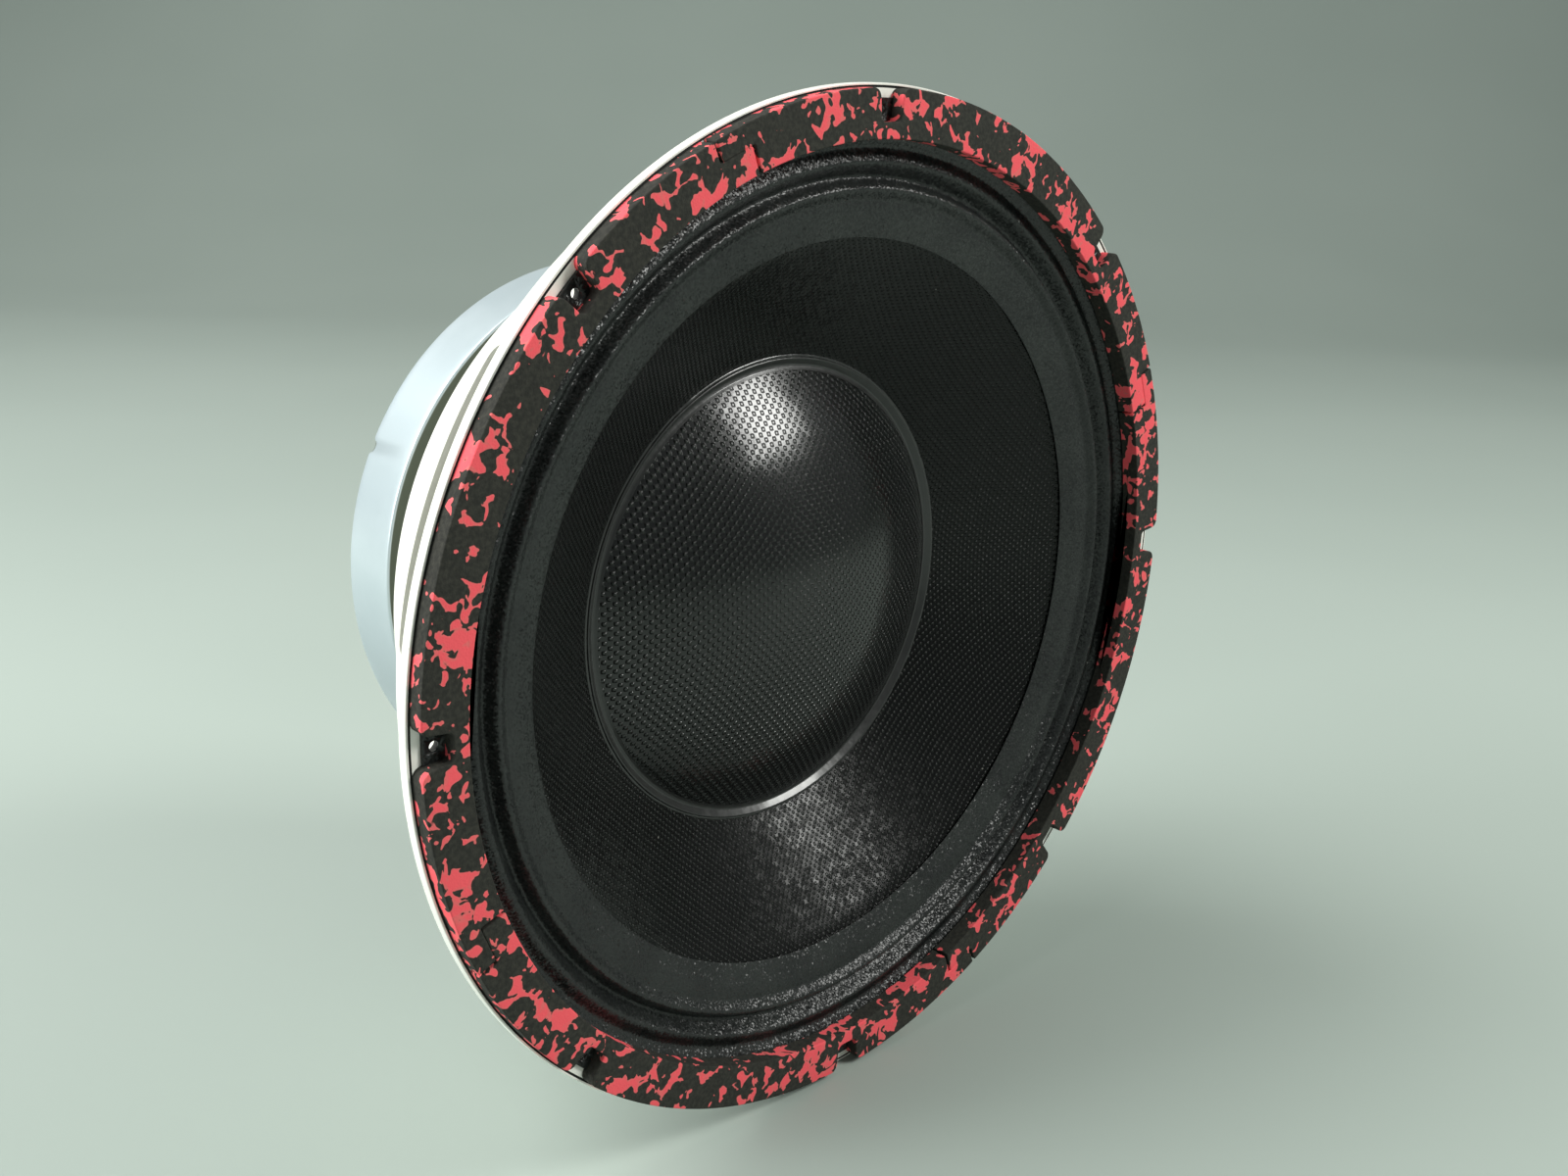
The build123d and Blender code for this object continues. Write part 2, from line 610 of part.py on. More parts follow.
def all_pieces():
    """Every piece by its node name."""
    pieces = {
        "frame_basket": frame_basket(),
        "surround": surround(),
        "cone": cone(),
        "dust_cap": dust_cap(),
        "spider": spider(),
        "voice_coil_former": voice_coil_former(),
        "voice_coil_winding": voice_coil_winding(),
        "coil_leadouts": coil_leadouts(),
        "top_plate": top_plate(),
        "magnet_ring": magnet_ring(),
        "yoke": yoke(),
        "pole_vent_screen": pole_vent_screen(),
        "motor_screws": motor_screws(),
        "terminal_housing": terminal_housing(),
        "terminal_screws": terminal_screws(),
    }
    for index in range(GASKET_SEGMENTS):
        pieces[f"gasket_segment_{index + 1}"] = gasket_segment(index)
    for side, name in ((-1, "negative"), (1, "positive")):
        pieces[f"terminal_button_{name}"] = terminal_button(side)
        pieces[f"terminal_spring_{name}"] = terminal_spring(side)
        pieces[f"terminal_contact_{name}"] = terminal_contact(side)
        pieces[f"tinsel_lead_{name}"] = tinsel_lead(side)
    return pieces


def main():
    os.makedirs("parts", exist_ok=True)
    for name, piece in all_pieces().items():
        export_step(piece, f"parts/{name}.step")
        print(f"{name:26s} {piece.volume:12.1f} mm3")


main()
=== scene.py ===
"""Looks of the car subwoofer driver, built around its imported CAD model.

Every length is in metres unless its name ends in _MM. The driver's axis is Y, its front faces
-Y and +Z is up. A profile point is (radius, y), in millimetres, about the driver's axis.
"""

import json
import math

import bmesh
import bpy
from mathutils import Matrix, Vector, noise


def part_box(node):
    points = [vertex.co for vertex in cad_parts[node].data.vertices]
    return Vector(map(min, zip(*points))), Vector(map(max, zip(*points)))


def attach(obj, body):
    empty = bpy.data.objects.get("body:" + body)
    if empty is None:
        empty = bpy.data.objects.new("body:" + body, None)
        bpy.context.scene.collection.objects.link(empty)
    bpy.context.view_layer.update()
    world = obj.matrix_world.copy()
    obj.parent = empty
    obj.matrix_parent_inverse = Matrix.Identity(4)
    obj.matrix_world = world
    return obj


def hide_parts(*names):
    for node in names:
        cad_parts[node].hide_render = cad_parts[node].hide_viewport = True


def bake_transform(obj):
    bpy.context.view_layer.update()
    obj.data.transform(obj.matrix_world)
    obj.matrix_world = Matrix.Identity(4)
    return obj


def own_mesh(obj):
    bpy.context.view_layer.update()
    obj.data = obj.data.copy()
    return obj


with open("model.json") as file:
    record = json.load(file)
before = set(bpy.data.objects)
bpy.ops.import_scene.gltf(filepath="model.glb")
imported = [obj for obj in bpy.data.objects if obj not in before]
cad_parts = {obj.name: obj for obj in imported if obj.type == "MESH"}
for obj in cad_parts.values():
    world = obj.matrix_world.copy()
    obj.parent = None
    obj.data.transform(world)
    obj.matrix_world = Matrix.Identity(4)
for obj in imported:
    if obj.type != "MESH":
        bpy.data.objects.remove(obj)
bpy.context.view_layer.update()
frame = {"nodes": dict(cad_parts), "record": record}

MM = 0.001
FULL_TURN = 2 * math.pi
TURN_STEPS = 288           # facets round a turned piece
TINY_MM = 1e-9             # a side shorter than this has no direction
WELD_MM = 1e-5             # points of a turned mesh closer than this are one
NEARLY_STRAIGHT = math.radians(88)      # half of a corner's angle that needs no rounding


# ---- places read from the frame ------------------------------------------------------

def reach(node):
    """A turned CAD node's outer radius and its lowest and highest y, in millimetres."""
    low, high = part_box(node)
    return high[2] / MM, low[1] / MM, high[1] / MM


RIM_R, RIM_FRONT_Y, BASKET_BACK_Y = reach("frame_basket")
CONE_R = reach("cone")[0]
DOME_R = reach("dust_cap")[0]
SURROUND_R, SURROUND_FRONT_Y = reach("surround")[:2]
SPIDER_R = reach("spider")[0]
FORMER_R = reach("voice_coil_former")[0]
WINDING_R, WINDING_FRONT_Y, WINDING_BACK_Y = reach("voice_coil_winding")
MAGNET_R, MAGNET_FRONT_Y, MAGNET_BACK_Y = reach("magnet_ring")
GASKET_TOP_Y = min(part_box(f"gasket_segment_{k}")[0][1] for k in (1, 2, 3, 4)) / MM
BOLTS = next(m for m in frame["record"]["mounts"] if m["name"] == "baffle_bolts")["dims"]
BOLT_CIRCLE_R = BOLTS["pcd_mm"] / 2
BOLT_COUNT = BOLTS["count"]
BOLT_HOLE_R = BOLTS["hole_r_mm"]

WALL_R = 144.0
WALL_INNER_R = 140.5
SLOT_FRONT_Y, SLOT_BACK_Y = 4.5, 20.5
SLOT_HALF_ANGLE = math.radians(17.0)
RECESS_R, RECESS_Y = 144.9, -1.2
RELIEF_R, RELIEF_Y = 142.3, 2.0
GROOVE_R = 155.5           # fine groove in the rim's face, just outside the gasket
CLOTH_HOLE_R = 1.4         # the cloth is pierced a little smaller than the rim behind it


# ---- outlines ------------------------------------------------------------------------

def on_circle(radius, angle):
    """The x and z of a point on a circle about the driver's axis, angle in radians."""
    return radius * math.cos(angle), radius * math.sin(angle)


def rounded(corners, steps=5):
    """A closed outline with each corner (x, y, radius) replaced by an arc."""
    points = []
    count = len(corners)
    for k, (x, y, radius) in enumerate(corners):
        here = Vector((x, y))
        before = Vector(corners[k - 1][:2]) - here
        after = Vector(corners[(k + 1) % count][:2]) - here
        if radius <= 0 or min(before.length, after.length) < TINY_MM:
            points.append((x, y))
            continue
        half = before.angle(after) / 2
        if half > NEARLY_STRAIGHT:
            points.append((x, y))
            continue
        leg = min(radius / math.tan(half), before.length * 0.49, after.length * 0.49)
        radius = leg * math.tan(half)
        inwards = (before.normalized() + after.normalized()).normalized()
        centre = here + inwards * (radius / math.sin(half))
        start = here + before.normalized() * leg - centre
        end = here + after.normalized() * leg - centre
        sweep = start.angle_signed(end)
        for step in range(steps + 1):
            turned = start.copy()
            turned.rotate(Matrix.Rotation(-sweep * step / steps, 2))
            points.append((centre.x + turned.x, centre.y + turned.y))
    return points


def eased(points, steps=12):
    """A soft wave that levels off at each of the given crests and valleys."""
    line = [points[0]]
    for (r_from, y_from), (r_to, y_to) in zip(points, points[1:]):
        for k in range(1, steps + 1):
            share = k / steps
            rise = (1 - math.cos(math.pi * share)) / 2
            line.append((r_from + (r_to - r_from) * share, y_from + (y_to - y_from) * rise))
    return line


def offset_line(line, wall):
    """The line moved by wall along its normal, towards +y."""
    moved = []
    for k, (r, y) in enumerate(line):
        before = line[max(k - 1, 0)]
        after = line[min(k + 1, len(line) - 1)]
        along = Vector((after[0] - before[0], after[1] - before[1])).normalized()
        normal = Vector((along.y, -along.x))
        if normal.y < 0:
            normal = -normal
        moved.append((r + normal.x * wall if r > 0 else 0, y + normal.y * wall))
    return moved


def shell_outline(line, wall):
    """A closed outline of constant thickness behind a line."""
    return list(line) + list(reversed(offset_line(line, wall)))


# ---- meshes --------------------------------------------------------------------------

def linked(name, data):
    """A new object in the scene."""
    obj = bpy.data.objects.new(name, data)
    bpy.context.scene.collection.objects.link(obj)
    return obj


def smooth(mesh):
    mesh.polygons.foreach_set("use_smooth", [True] * len(mesh.polygons))


def piece_from(name, bm, material, sharp_angle=40):
    """An object from a bmesh in millimetres."""
    bmesh.ops.recalc_face_normals(bm, faces=bm.faces)
    bmesh.ops.scale(bm, vec=(MM, MM, MM), verts=bm.verts)
    mesh = bpy.data.meshes.new(name)
    bm.to_mesh(mesh)
    bm.free()
    smooth(mesh)
    mesh.set_sharp_from_angle(angle=math.radians(sharp_angle))
    mesh.materials.append(material)
    return linked(name, mesh)


def join_rings(bm, rings, closed=True):
    """Faces between each ring of vertices and the next and, if closed, from the last to the first."""
    pairs = list(zip(rings, rings[1:]))
    if closed:
        pairs.append((rings[-1], rings[0]))
    for here, there in pairs:
        for j in range(len(here)):
            n = (j + 1) % len(here)
            bm.faces.new((here[j], here[n], there[n], there[j]))


def turned_mesh(outline, steps=TURN_STEPS):
    """A closed (radius, y) outline turned about the driver's axis."""
    bm = bmesh.new()
    rings = []
    for k in range(steps):
        angle = FULL_TURN * k / steps
        ring = []
        for radius, y in outline:
            x, z = on_circle(radius, angle)
            ring.append(bm.verts.new((x, y, z)))
        rings.append(ring)
    join_rings(bm, rings)
    bmesh.ops.remove_doubles(bm, verts=bm.verts, dist=WELD_MM)
    return bm


def turned_piece(name, outline, material, steps=TURN_STEPS, sharp_angle=40):
    """An object turned from a closed outline."""
    return piece_from(name, turned_mesh(outline, steps), material, sharp_angle)


def add_prism(bm, outline, low, high):
    """A prism along y from a closed (x, z) outline, and its two caps."""
    bottom = [bm.verts.new((x, low, z)) for x, z in outline]
    top = [bm.verts.new((x, high, z)) for x, z in outline]
    faces = []
    for k in range(len(outline)):
        n = (k + 1) % len(outline)
        faces.append(bm.faces.new((bottom[k], bottom[n], top[n], top[k])))
    faces.append(bm.faces.new(bottom))
    faces.append(bm.faces.new(top))
    return faces


def evaluated_mesh(obj):
    """A new mesh of the object with its curves and modifiers worked out."""
    graph = bpy.context.evaluated_depsgraph_get()
    return bpy.data.meshes.new_from_object(obj.evaluated_get(graph))


def apply_modifiers(obj):
    mesh = evaluated_mesh(obj)
    obj.modifiers.clear()
    obj.data = mesh


def cut(obj, cutter):
    """Cuts the cutter out of the object, then removes the cutter."""
    modifier = obj.modifiers.new("cut", "BOOLEAN")
    modifier.operation = "DIFFERENCE"
    modifier.solver = "EXACT"
    modifier.object = cutter
    apply_modifiers(obj)
    bpy.data.objects.remove(cutter)


# ---- material helpers ----------------------------------------------------------------

def add(tree, kind, inputs=None, **settings):
    """A node with its settings and inputs: an input given as a socket is linked."""
    made = tree.nodes.new(kind)
    for key, value in settings.items():
        setattr(made, key, value)
    for key, value in (inputs or {}).items():
        socket = made.inputs[key]
        if isinstance(value, bpy.types.NodeSocket):
            tree.links.new(value, socket)
        else:
            socket.default_value = value
    return made


def math_node(tree, operation, first, second=0.0, third=0.0):
    inputs = {0: first, 1: second, 2: third}
    return add(tree, "ShaderNodeMath", inputs, operation=operation).outputs[0]


def ramp(tree, factor, low, high, smooth=True):
    """0 below low and 1 above high."""
    kind = "SMOOTHSTEP" if smooth else "LINEAR"
    made = add(tree, "ShaderNodeMapRange", {"Value": factor, "From Min": low, "From Max": high},
               interpolation_type=kind)
    return made.outputs["Result"]


def mixed(tree, factor, first, second):
    """A colour between two colours, each an RGB or a socket."""
    made = add(tree, "ShaderNodeMix", data_type="RGBA")
    for index, value in ((0, factor), (6, first), (7, second)):
        if isinstance(value, bpy.types.NodeSocket):
            tree.links.new(value, made.inputs[index])
        elif index:
            made.inputs[index].default_value = (*value, 1)
        else:
            made.inputs[index].default_value = value
    return made.outputs[2]


def between(tree, factor, low, high):
    """A number from low to high as factor goes from 0 to 1."""
    made = add(tree, "ShaderNodeMapRange", {"Value": factor, "To Min": low, "To Max": high})
    return made.outputs["Result"]


def place_mm(tree):
    """The point's place on the object, in millimetres."""
    coordinates = add(tree, "ShaderNodeTexCoord").outputs["Object"]
    scaled = add(tree, "ShaderNodeVectorMath", {0: coordinates, "Scale": 1 / MM}, operation="SCALE")
    return scaled.outputs[0]


def noise_at(tree, place, per_mm, detail=2.0, roughness=0.5, distortion=0.0):
    """Smooth noise from 0 to 1, with per_mm swells to the millimetre."""
    made = add(tree, "ShaderNodeTexNoise", {
        "Vector": place, "Scale": per_mm, "Detail": detail,
        "Roughness": roughness, "Distortion": distortion})
    return made.outputs["Fac"]


def bump(tree, height, distance_mm, strength=1.0, normal=None):
    """A normal bent by a height from 0 to 1, over another normal if one is given."""
    inputs = {"Height": height, "Distance": distance_mm * MM, "Strength": strength}
    if normal is not None:
        inputs["Normal"] = normal
    return add(tree, "ShaderNodeBump", inputs).outputs["Normal"]


def material(name, **constants):
    """A material, its tree and its shader, with the shader's constant values set."""
    made = bpy.data.materials.new(name)
    made.use_nodes = True
    tree = made.node_tree
    shader = tree.nodes["Principled BSDF"]
    for key, value in constants.items():
        socket = shader.inputs[key.replace("_", " ")]
        socket.default_value = (*value, 1) if isinstance(value, tuple) else value
    return made, tree, shader


def specks(tree, place, per_mm, size, share):
    """1 on small round specks and 0 elsewhere; only some of the cells hold a speck."""
    cells = add(tree, "ShaderNodeTexVoronoi", {"Vector": place, "Scale": per_mm})
    dot = ramp(tree, cells.outputs["Distance"], size, size * 0.6)
    tone = add(tree, "ShaderNodeSeparateColor", {0: cells.outputs["Color"]}).outputs[0]
    chosen = math_node(tree, "LESS_THAN", tone, share)
    return math_node(tree, "MULTIPLY", dot, chosen)


def facets(tree, place, per_mm, tilt, normal=None):
    """A normal that leans at random from grain to grain, so that some grains catch the light."""
    cells = add(tree, "ShaderNodeTexVoronoi", {"Vector": place, "Scale": per_mm}).outputs["Color"]
    lean = add(tree, "ShaderNodeVectorMath", {0: cells, 1: (0.5, 0.5, 0.5)}, operation="SUBTRACT")
    lean = add(tree, "ShaderNodeVectorMath", {0: lean.outputs[0], "Scale": tilt}, operation="SCALE")
    if normal is None:
        normal = add(tree, "ShaderNodeNewGeometry").outputs["Normal"]
    leant = add(tree, "ShaderNodeVectorMath", {0: normal, 1: lean.outputs[0]}, operation="ADD")
    return add(tree, "ShaderNodeVectorMath", {0: leant.outputs[0]}, operation="NORMALIZE").outputs[0]


def from_axis(tree, place):
    """The point's distance from the driver's axis and its y, in millimetres."""
    axes = add(tree, "ShaderNodeSeparateXYZ", {0: place})
    flat = add(tree, "ShaderNodeCombineXYZ", {"X": axes.outputs["X"], "Z": axes.outputs["Z"]})
    length = add(tree, "ShaderNodeVectorMath", {0: flat.outputs[0]}, operation="LENGTH")
    return length.outputs["Value"], axes.outputs["Y"]


def inside_range(tree, value, low, high):
    """1 where the value lies between two limits and 0 elsewhere."""
    above = math_node(tree, "GREATER_THAN", value, low)
    below = math_node(tree, "LESS_THAN", value, high)
    return math_node(tree, "MULTIPLY", above, below)


def weave_height(tree, place, pitch_mm):
    """Height of a plain weave seen along the driver's axis: a square lattice of round crossings."""
    axes = add(tree, "ShaderNodeSeparateXYZ", {0: place})
    waves = []
    for axis in ("X", "Z"):
        angle = math_node(tree, "MULTIPLY", axes.outputs[axis], FULL_TURN / (pitch_mm * math.sqrt(2)))
        waves.append(math_node(tree, "COSINE", angle))
    return math_node(tree, "MULTIPLY", *waves)


# ---- materials -----------------------------------------------------------------------

def enamel():
    """Cream-white stoved enamel with a little dust; painted shade: dark grey inside the basket,
    near-black in the groove and on the recess and bolt holes under the cloth.
    """
    made, tree, shader = material("white_enamel")
    place = place_mm(tree)
    cloud = noise_at(tree, place, 0.02, 4.0)
    dust = specks(tree, place, 0.22, 0.10, 0.12)
    colour = mixed(tree, ramp(tree, cloud, 0.35, 0.7), (0.86, 0.85, 0.79), (0.80, 0.79, 0.72))
    colour = mixed(tree, math_node(tree, "MULTIPLY", dust, 0.4), colour, (0.35, 0.32, 0.27))
    radius, depth = from_axis(tree, place)
    # Painted shade: the recess and the bolt holes' walls under the cloth are coloured near-black, for
    # the shade in the holes.
    under_cloth = math_node(tree, "MULTIPLY", inside_range(tree, radius, RECESS_R - 1, SURROUND_R),
                            inside_range(tree, depth, RIM_FRONT_Y - 1, -0.6))
    # Painted shade: the fine groove round the rim is coloured near-black, for the shadow line along it.
    groove = math_node(tree, "MULTIPLY", inside_range(tree, radius, GROOVE_R - 0.35, GROOVE_R + 0.35),
                       inside_range(tree, depth, RIM_FRONT_Y - 1, -2))
    # Painted shade: the inner face of the basket's wall is coloured dark grey, for the shade inside the
    # cavity.
    inside = math_node(tree, "MULTIPLY", inside_range(tree, radius, 0, WALL_INNER_R + 0.4),
                       inside_range(tree, depth, 0, 24))
    colour = mixed(tree, inside, colour, (0.10, 0.10, 0.09))
    # Where painted shade goes near-black; the same mask also makes the enamel rough there.
    painted_shade_mask = math_node(tree, "MAXIMUM", under_cloth, groove)
    tree.links.new(mixed(tree, painted_shade_mask, colour, (0.02, 0.02, 0.018)), shader.inputs["Base Color"])
    peel = noise_at(tree, place, 0.9, 2.0)
    tree.links.new(bump(tree, peel, 0.03, 0.35), shader.inputs["Normal"])
    dull = math_node(tree, "MULTIPLY", painted_shade_mask, 0.9)
    rough = math_node(tree, "MAXIMUM", between(tree, cloud, 0.24, 0.38), dull)
    tree.links.new(rough, shader.inputs["Roughness"])
    return made


def mottled_foam():
    """Charcoal closed-cell foam with dense, ragged coral-red blotches and specks."""
    made, tree, shader = material("mottled_foam", Roughness=0.85, Specular_IOR_Level=0.25)
    place = place_mm(tree)
    clumps = noise_at(tree, place, 0.10, 1.5, 0.5, 0.7)
    shreds = noise_at(tree, place, 0.24, 1.6, 0.5, 0.8)
    level = math_node(tree, "ADD", math_node(tree, "MULTIPLY", clumps, 0.5),
                      math_node(tree, "MULTIPLY", shreds, 0.5))
    blotch = ramp(tree, level, 0.533, 0.541)
    rind = ramp(tree, level, 0.533, 0.580)
    tone = noise_at(tree, place, 0.8, 3.0)
    red = mixed(tree, rind, (0.72, 0.150, 0.145), (0.88, 0.105, 0.125))
    dark = mixed(tree, ramp(tree, tone, 0.3, 0.75), (0.020, 0.020, 0.017), (0.038, 0.037, 0.030))
    tree.links.new(mixed(tree, blotch, dark, red), shader.inputs["Base Color"])
    cells = add(tree, "ShaderNodeTexVoronoi", {"Vector": place, "Scale": 1.6}).outputs["Distance"]
    pores = bump(tree, cells, 0.14, 0.5)
    wave = bump(tree, noise_at(tree, place, 0.12, 2.0), 0.5, 0.25, pores)
    tree.links.new(wave, shader.inputs["Normal"])
    return made


def treated_cloth():
    """Black cotton cloth sealed with a rubbery dope: a coarse sparkling grain."""
    made, tree, shader = material("treated_cloth", Specular_IOR_Level=0.42)
    place = place_mm(tree)
    grain = noise_at(tree, place, 1.5, 3.0, 0.65)
    patches = noise_at(tree, place, 0.05, 3.0)
    colour = mixed(tree, ramp(tree, patches, 0.3, 0.7), (0.008, 0.009, 0.009), (0.015, 0.017, 0.016))
    lint = specks(tree, place, 0.16, 0.06, 0.10)
    colour = mixed(tree, math_node(tree, "MULTIPLY", lint, 0.6), colour, (0.40, 0.40, 0.37))
    tree.links.new(colour, shader.inputs["Base Color"])
    tree.links.new(between(tree, grain, 0.24, 0.42), shader.inputs["Roughness"])
    rough = bump(tree, grain, 0.07, 0.7)
    tree.links.new(facets(tree, place, 2.1, 0.50, rough), shader.inputs["Normal"])
    return made


def woven_fibre(name, depth_mm, pitch_mm, gloss, sparkle, coat, specular):
    """Black woven fibre in resin: a lattice of glossy crossings, each leaning its own way."""
    made, tree, shader = material(name, Specular_IOR_Level=specular, Coat_Weight=coat,
                                  Coat_Roughness=0.20)
    place = place_mm(tree)
    drift = noise_at(tree, place, 0.03, 2.0)
    height = weave_height(tree, place, pitch_mm)
    knots = ramp(tree, height, 0.0, 0.9)
    colour = mixed(tree, knots, (0.002, 0.002, 0.002), (0.014, 0.016, 0.014))
    lint = specks(tree, place, 0.11, 0.035, 0.10)
    colour = mixed(tree, math_node(tree, "MULTIPLY", lint, 0.5), colour, (0.4, 0.38, 0.34))
    tree.links.new(colour, shader.inputs["Base Color"])
    tree.links.new(between(tree, drift, gloss, gloss + 0.1), shader.inputs["Roughness"])
    raised = bump(tree, knots, depth_mm, 1.0)
    tree.links.new(facets(tree, place, 1 / pitch_mm, sparkle, raised), shader.inputs["Normal"])
    return made


def lacquer_black(name, roughness=0.25):
    """Thin glossy black adhesive or lacquer, slightly uneven."""
    made, tree, shader = material(name, Coat_Weight=0.4, Coat_Roughness=0.1)
    place = place_mm(tree)
    swell = noise_at(tree, place, 0.25, 3.0)
    tree.links.new(mixed(tree, swell, (0.006, 0.006, 0.006), (0.02, 0.02, 0.019)),
                   shader.inputs["Base Color"])
    tree.links.new(between(tree, swell, roughness, roughness + 0.2), shader.inputs["Roughness"])
    tree.links.new(bump(tree, swell, 0.4, 0.5), shader.inputs["Normal"])
    return made


def spider_cloth():
    """Tan resin-dipped cotton with an open weave."""
    made, tree, shader = material("spider_cloth", Sheen_Weight=0.2, Sheen_Roughness=0.5)
    place = place_mm(tree)
    threads = weave_height(tree, place, 0.8)
    cloud = noise_at(tree, place, 0.05, 3.0)
    colour = mixed(tree, ramp(tree, threads, -0.6, 0.6), (0.20, 0.13, 0.045), (0.50, 0.36, 0.15))
    colour = mixed(tree, math_node(tree, "MULTIPLY", cloud, 0.5), colour, (0.34, 0.22, 0.08))
    tree.links.new(colour, shader.inputs["Base Color"])
    tree.links.new(between(tree, cloud, 0.6, 0.85), shader.inputs["Roughness"])
    tree.links.new(bump(tree, threads, 0.15, 0.8), shader.inputs["Normal"])
    return made


def silver_paint():
    """Satin blue-silver paint on the magnet's side; its faces are bare olive-grey ferrite."""
    made, tree, shader = material("silver_paint", Metallic=0.40)
    place = place_mm(tree)
    cloud = noise_at(tree, place, 0.03, 4.0)
    flakes = noise_at(tree, place, 2.5, 1.0)
    radius, _ = from_axis(tree, place)
    bare = ramp(tree, radius, MAGNET_R - 0.5, MAGNET_R - 1.0)
    paint = mixed(tree, ramp(tree, cloud, 0.3, 0.75), (0.42, 0.49, 0.52), (0.50, 0.57, 0.60))
    paint = mixed(tree, math_node(tree, "MULTIPLY", flakes, 0.2), paint, (0.55, 0.60, 0.62))
    ferrite = mixed(tree, flakes, (0.075, 0.090, 0.065), (0.100, 0.115, 0.085))
    tree.links.new(mixed(tree, bare, paint, ferrite), shader.inputs["Base Color"])
    tree.links.new(between(tree, bare, 0.36, 0.7), shader.inputs["Roughness"])
    tree.links.new(bump(tree, flakes, 0.03, 0.3), shader.inputs["Normal"])
    return made


def turned_steel(name, light, dark, roughness):
    """Plated steel with fine rings from the lathe and a few stains."""
    made, tree, shader = material(name, Metallic=1.0)
    place = place_mm(tree)
    radius, depth = from_axis(tree, place)
    along = add(tree, "ShaderNodeCombineXYZ", {"X": radius, "Y": depth}).outputs[0]
    rings = noise_at(tree, along, 3.0, 3.0, 0.7)
    stains = noise_at(tree, place, 0.05, 4.0, 0.6)
    tree.links.new(mixed(tree, ramp(tree, stains, 0.35, 0.7), light, dark), shader.inputs["Base Color"])
    worn = math_node(tree, "MULTIPLY", rings, stains)
    tree.links.new(between(tree, worn, roughness - 0.08, roughness + 0.35), shader.inputs["Roughness"])
    tree.links.new(bump(tree, rings, 0.03, 0.5), shader.inputs["Normal"])
    return made


def small_metal(name, light, dark, roughness, metallic=1.0):
    """Metal of a small piece: tone and gloss vary a little."""
    made, tree, shader = material(name, Metallic=metallic)
    place = place_mm(tree)
    tone = noise_at(tree, place, 0.6, 4.0)
    tree.links.new(mixed(tree, tone, light, dark), shader.inputs["Base Color"])
    tree.links.new(between(tree, tone, roughness, roughness + 0.25), shader.inputs["Roughness"])
    tree.links.new(bump(tree, noise_at(tree, place, 4.0, 2.0), 0.02, 0.4), shader.inputs["Normal"])
    return made


def moulded_plastic(name, light, dark, roughness=0.42):
    """Moulded plastic with a fine spark texture."""
    made, tree, shader = material(name, Specular_IOR_Level=0.45)
    place = place_mm(tree)
    tone = noise_at(tree, place, 0.15, 3.0)
    spark = noise_at(tree, place, 6.0, 2.0)
    tree.links.new(mixed(tree, tone, light, dark), shader.inputs["Base Color"])
    tree.links.new(between(tree, spark, roughness, roughness + 0.2), shader.inputs["Roughness"])
    tree.links.new(bump(tree, spark, 0.04, 0.5), shader.inputs["Normal"])
    return made


def braid(name):
    """Tinned braid: crossing strands along and across."""
    made, tree, shader = material(name, Metallic=1.0)
    place = place_mm(tree)
    strands = noise_at(tree, place, 2.4, 2.0, 0.6, 0.6)
    tree.links.new(mixed(tree, strands, (0.34, 0.31, 0.26), (0.78, 0.75, 0.68)),
                   shader.inputs["Base Color"])
    tree.links.new(between(tree, strands, 0.3, 0.55), shader.inputs["Roughness"])
    tree.links.new(bump(tree, strands, 0.25, 0.8), shader.inputs["Normal"])
    return made


MATERIALS = {
    "enamel": enamel(),
    "foam": mottled_foam(),
    "cloth": treated_cloth(),
    "cone": woven_fibre("woven_cone", depth_mm=0.26, pitch_mm=1.6, gloss=0.20, sparkle=0.10,
                        coat=0.0, specular=0.25),
    "dome": woven_fibre("woven_dome", depth_mm=0.55, pitch_mm=2.1, gloss=0.16, sparkle=0.03,
                        coat=0.1, specular=0.55),
    "lip": lacquer_black("dome_lip"),
    "glue": lacquer_black("adhesive", 0.18),
    "spider": spider_cloth(),
    "magnet": silver_paint(),
    "steel": turned_steel("plated_steel", (0.56, 0.57, 0.56), (0.49, 0.49, 0.47), 0.28),
    "screen": small_metal("dark_mesh", (0.03, 0.03, 0.03), (0.06, 0.06, 0.06), 0.4, 0.6),
    "black_screw": small_metal("black_screw", (0.03, 0.03, 0.032), (0.07, 0.07, 0.07), 0.32),
    "bright_screw": small_metal("bright_screw", (0.62, 0.63, 0.62), (0.45, 0.46, 0.44), 0.25),
    "plastic": moulded_plastic("black_plastic", (0.018, 0.018, 0.019), (0.032, 0.032, 0.033)),
    "red": moulded_plastic("button_red", (0.55, 0.022, 0.020), (0.40, 0.014, 0.014), 0.32),
    "black": moulded_plastic("button_black", (0.022, 0.022, 0.023), (0.04, 0.04, 0.04), 0.32),
    "brass": small_metal("brass", (0.76, 0.58, 0.26), (0.60, 0.42, 0.17), 0.22),
    "spring": small_metal("spring_steel", (0.62, 0.62, 0.62), (0.42, 0.42, 0.42), 0.22),
    "braid": braid("tinsel_braid"),
    "film": moulded_plastic("former_film", (0.34, 0.16, 0.03), (0.24, 0.10, 0.02), 0.25),
    "copper": small_metal("copper_wire", (0.72, 0.30, 0.13), (0.52, 0.19, 0.08), 0.22),
}


def dress(node, key):
    """Gives a carried-over CAD node its material."""
    mesh = frame["nodes"][node].data
    mesh.materials.clear()
    mesh.materials.append(MATERIALS[key])


def finish_piece(obj, body, slot, *nodes):
    """A rigid piece on its body, standing for its CAD nodes. Its slot argument is not used."""
    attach(obj, body)
    if nodes:
        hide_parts(*nodes)
    return obj


# ---- basket --------------------------------------------------------------------------

def hole_outline(x, z, radius=BOLT_HOLE_R, sides=32):
    """The round outline of one bolt hole."""
    angles = [FULL_TURN * k / sides for k in range(sides)]
    return [(x + radius * math.cos(a), z + radius * math.sin(a)) for a in angles]


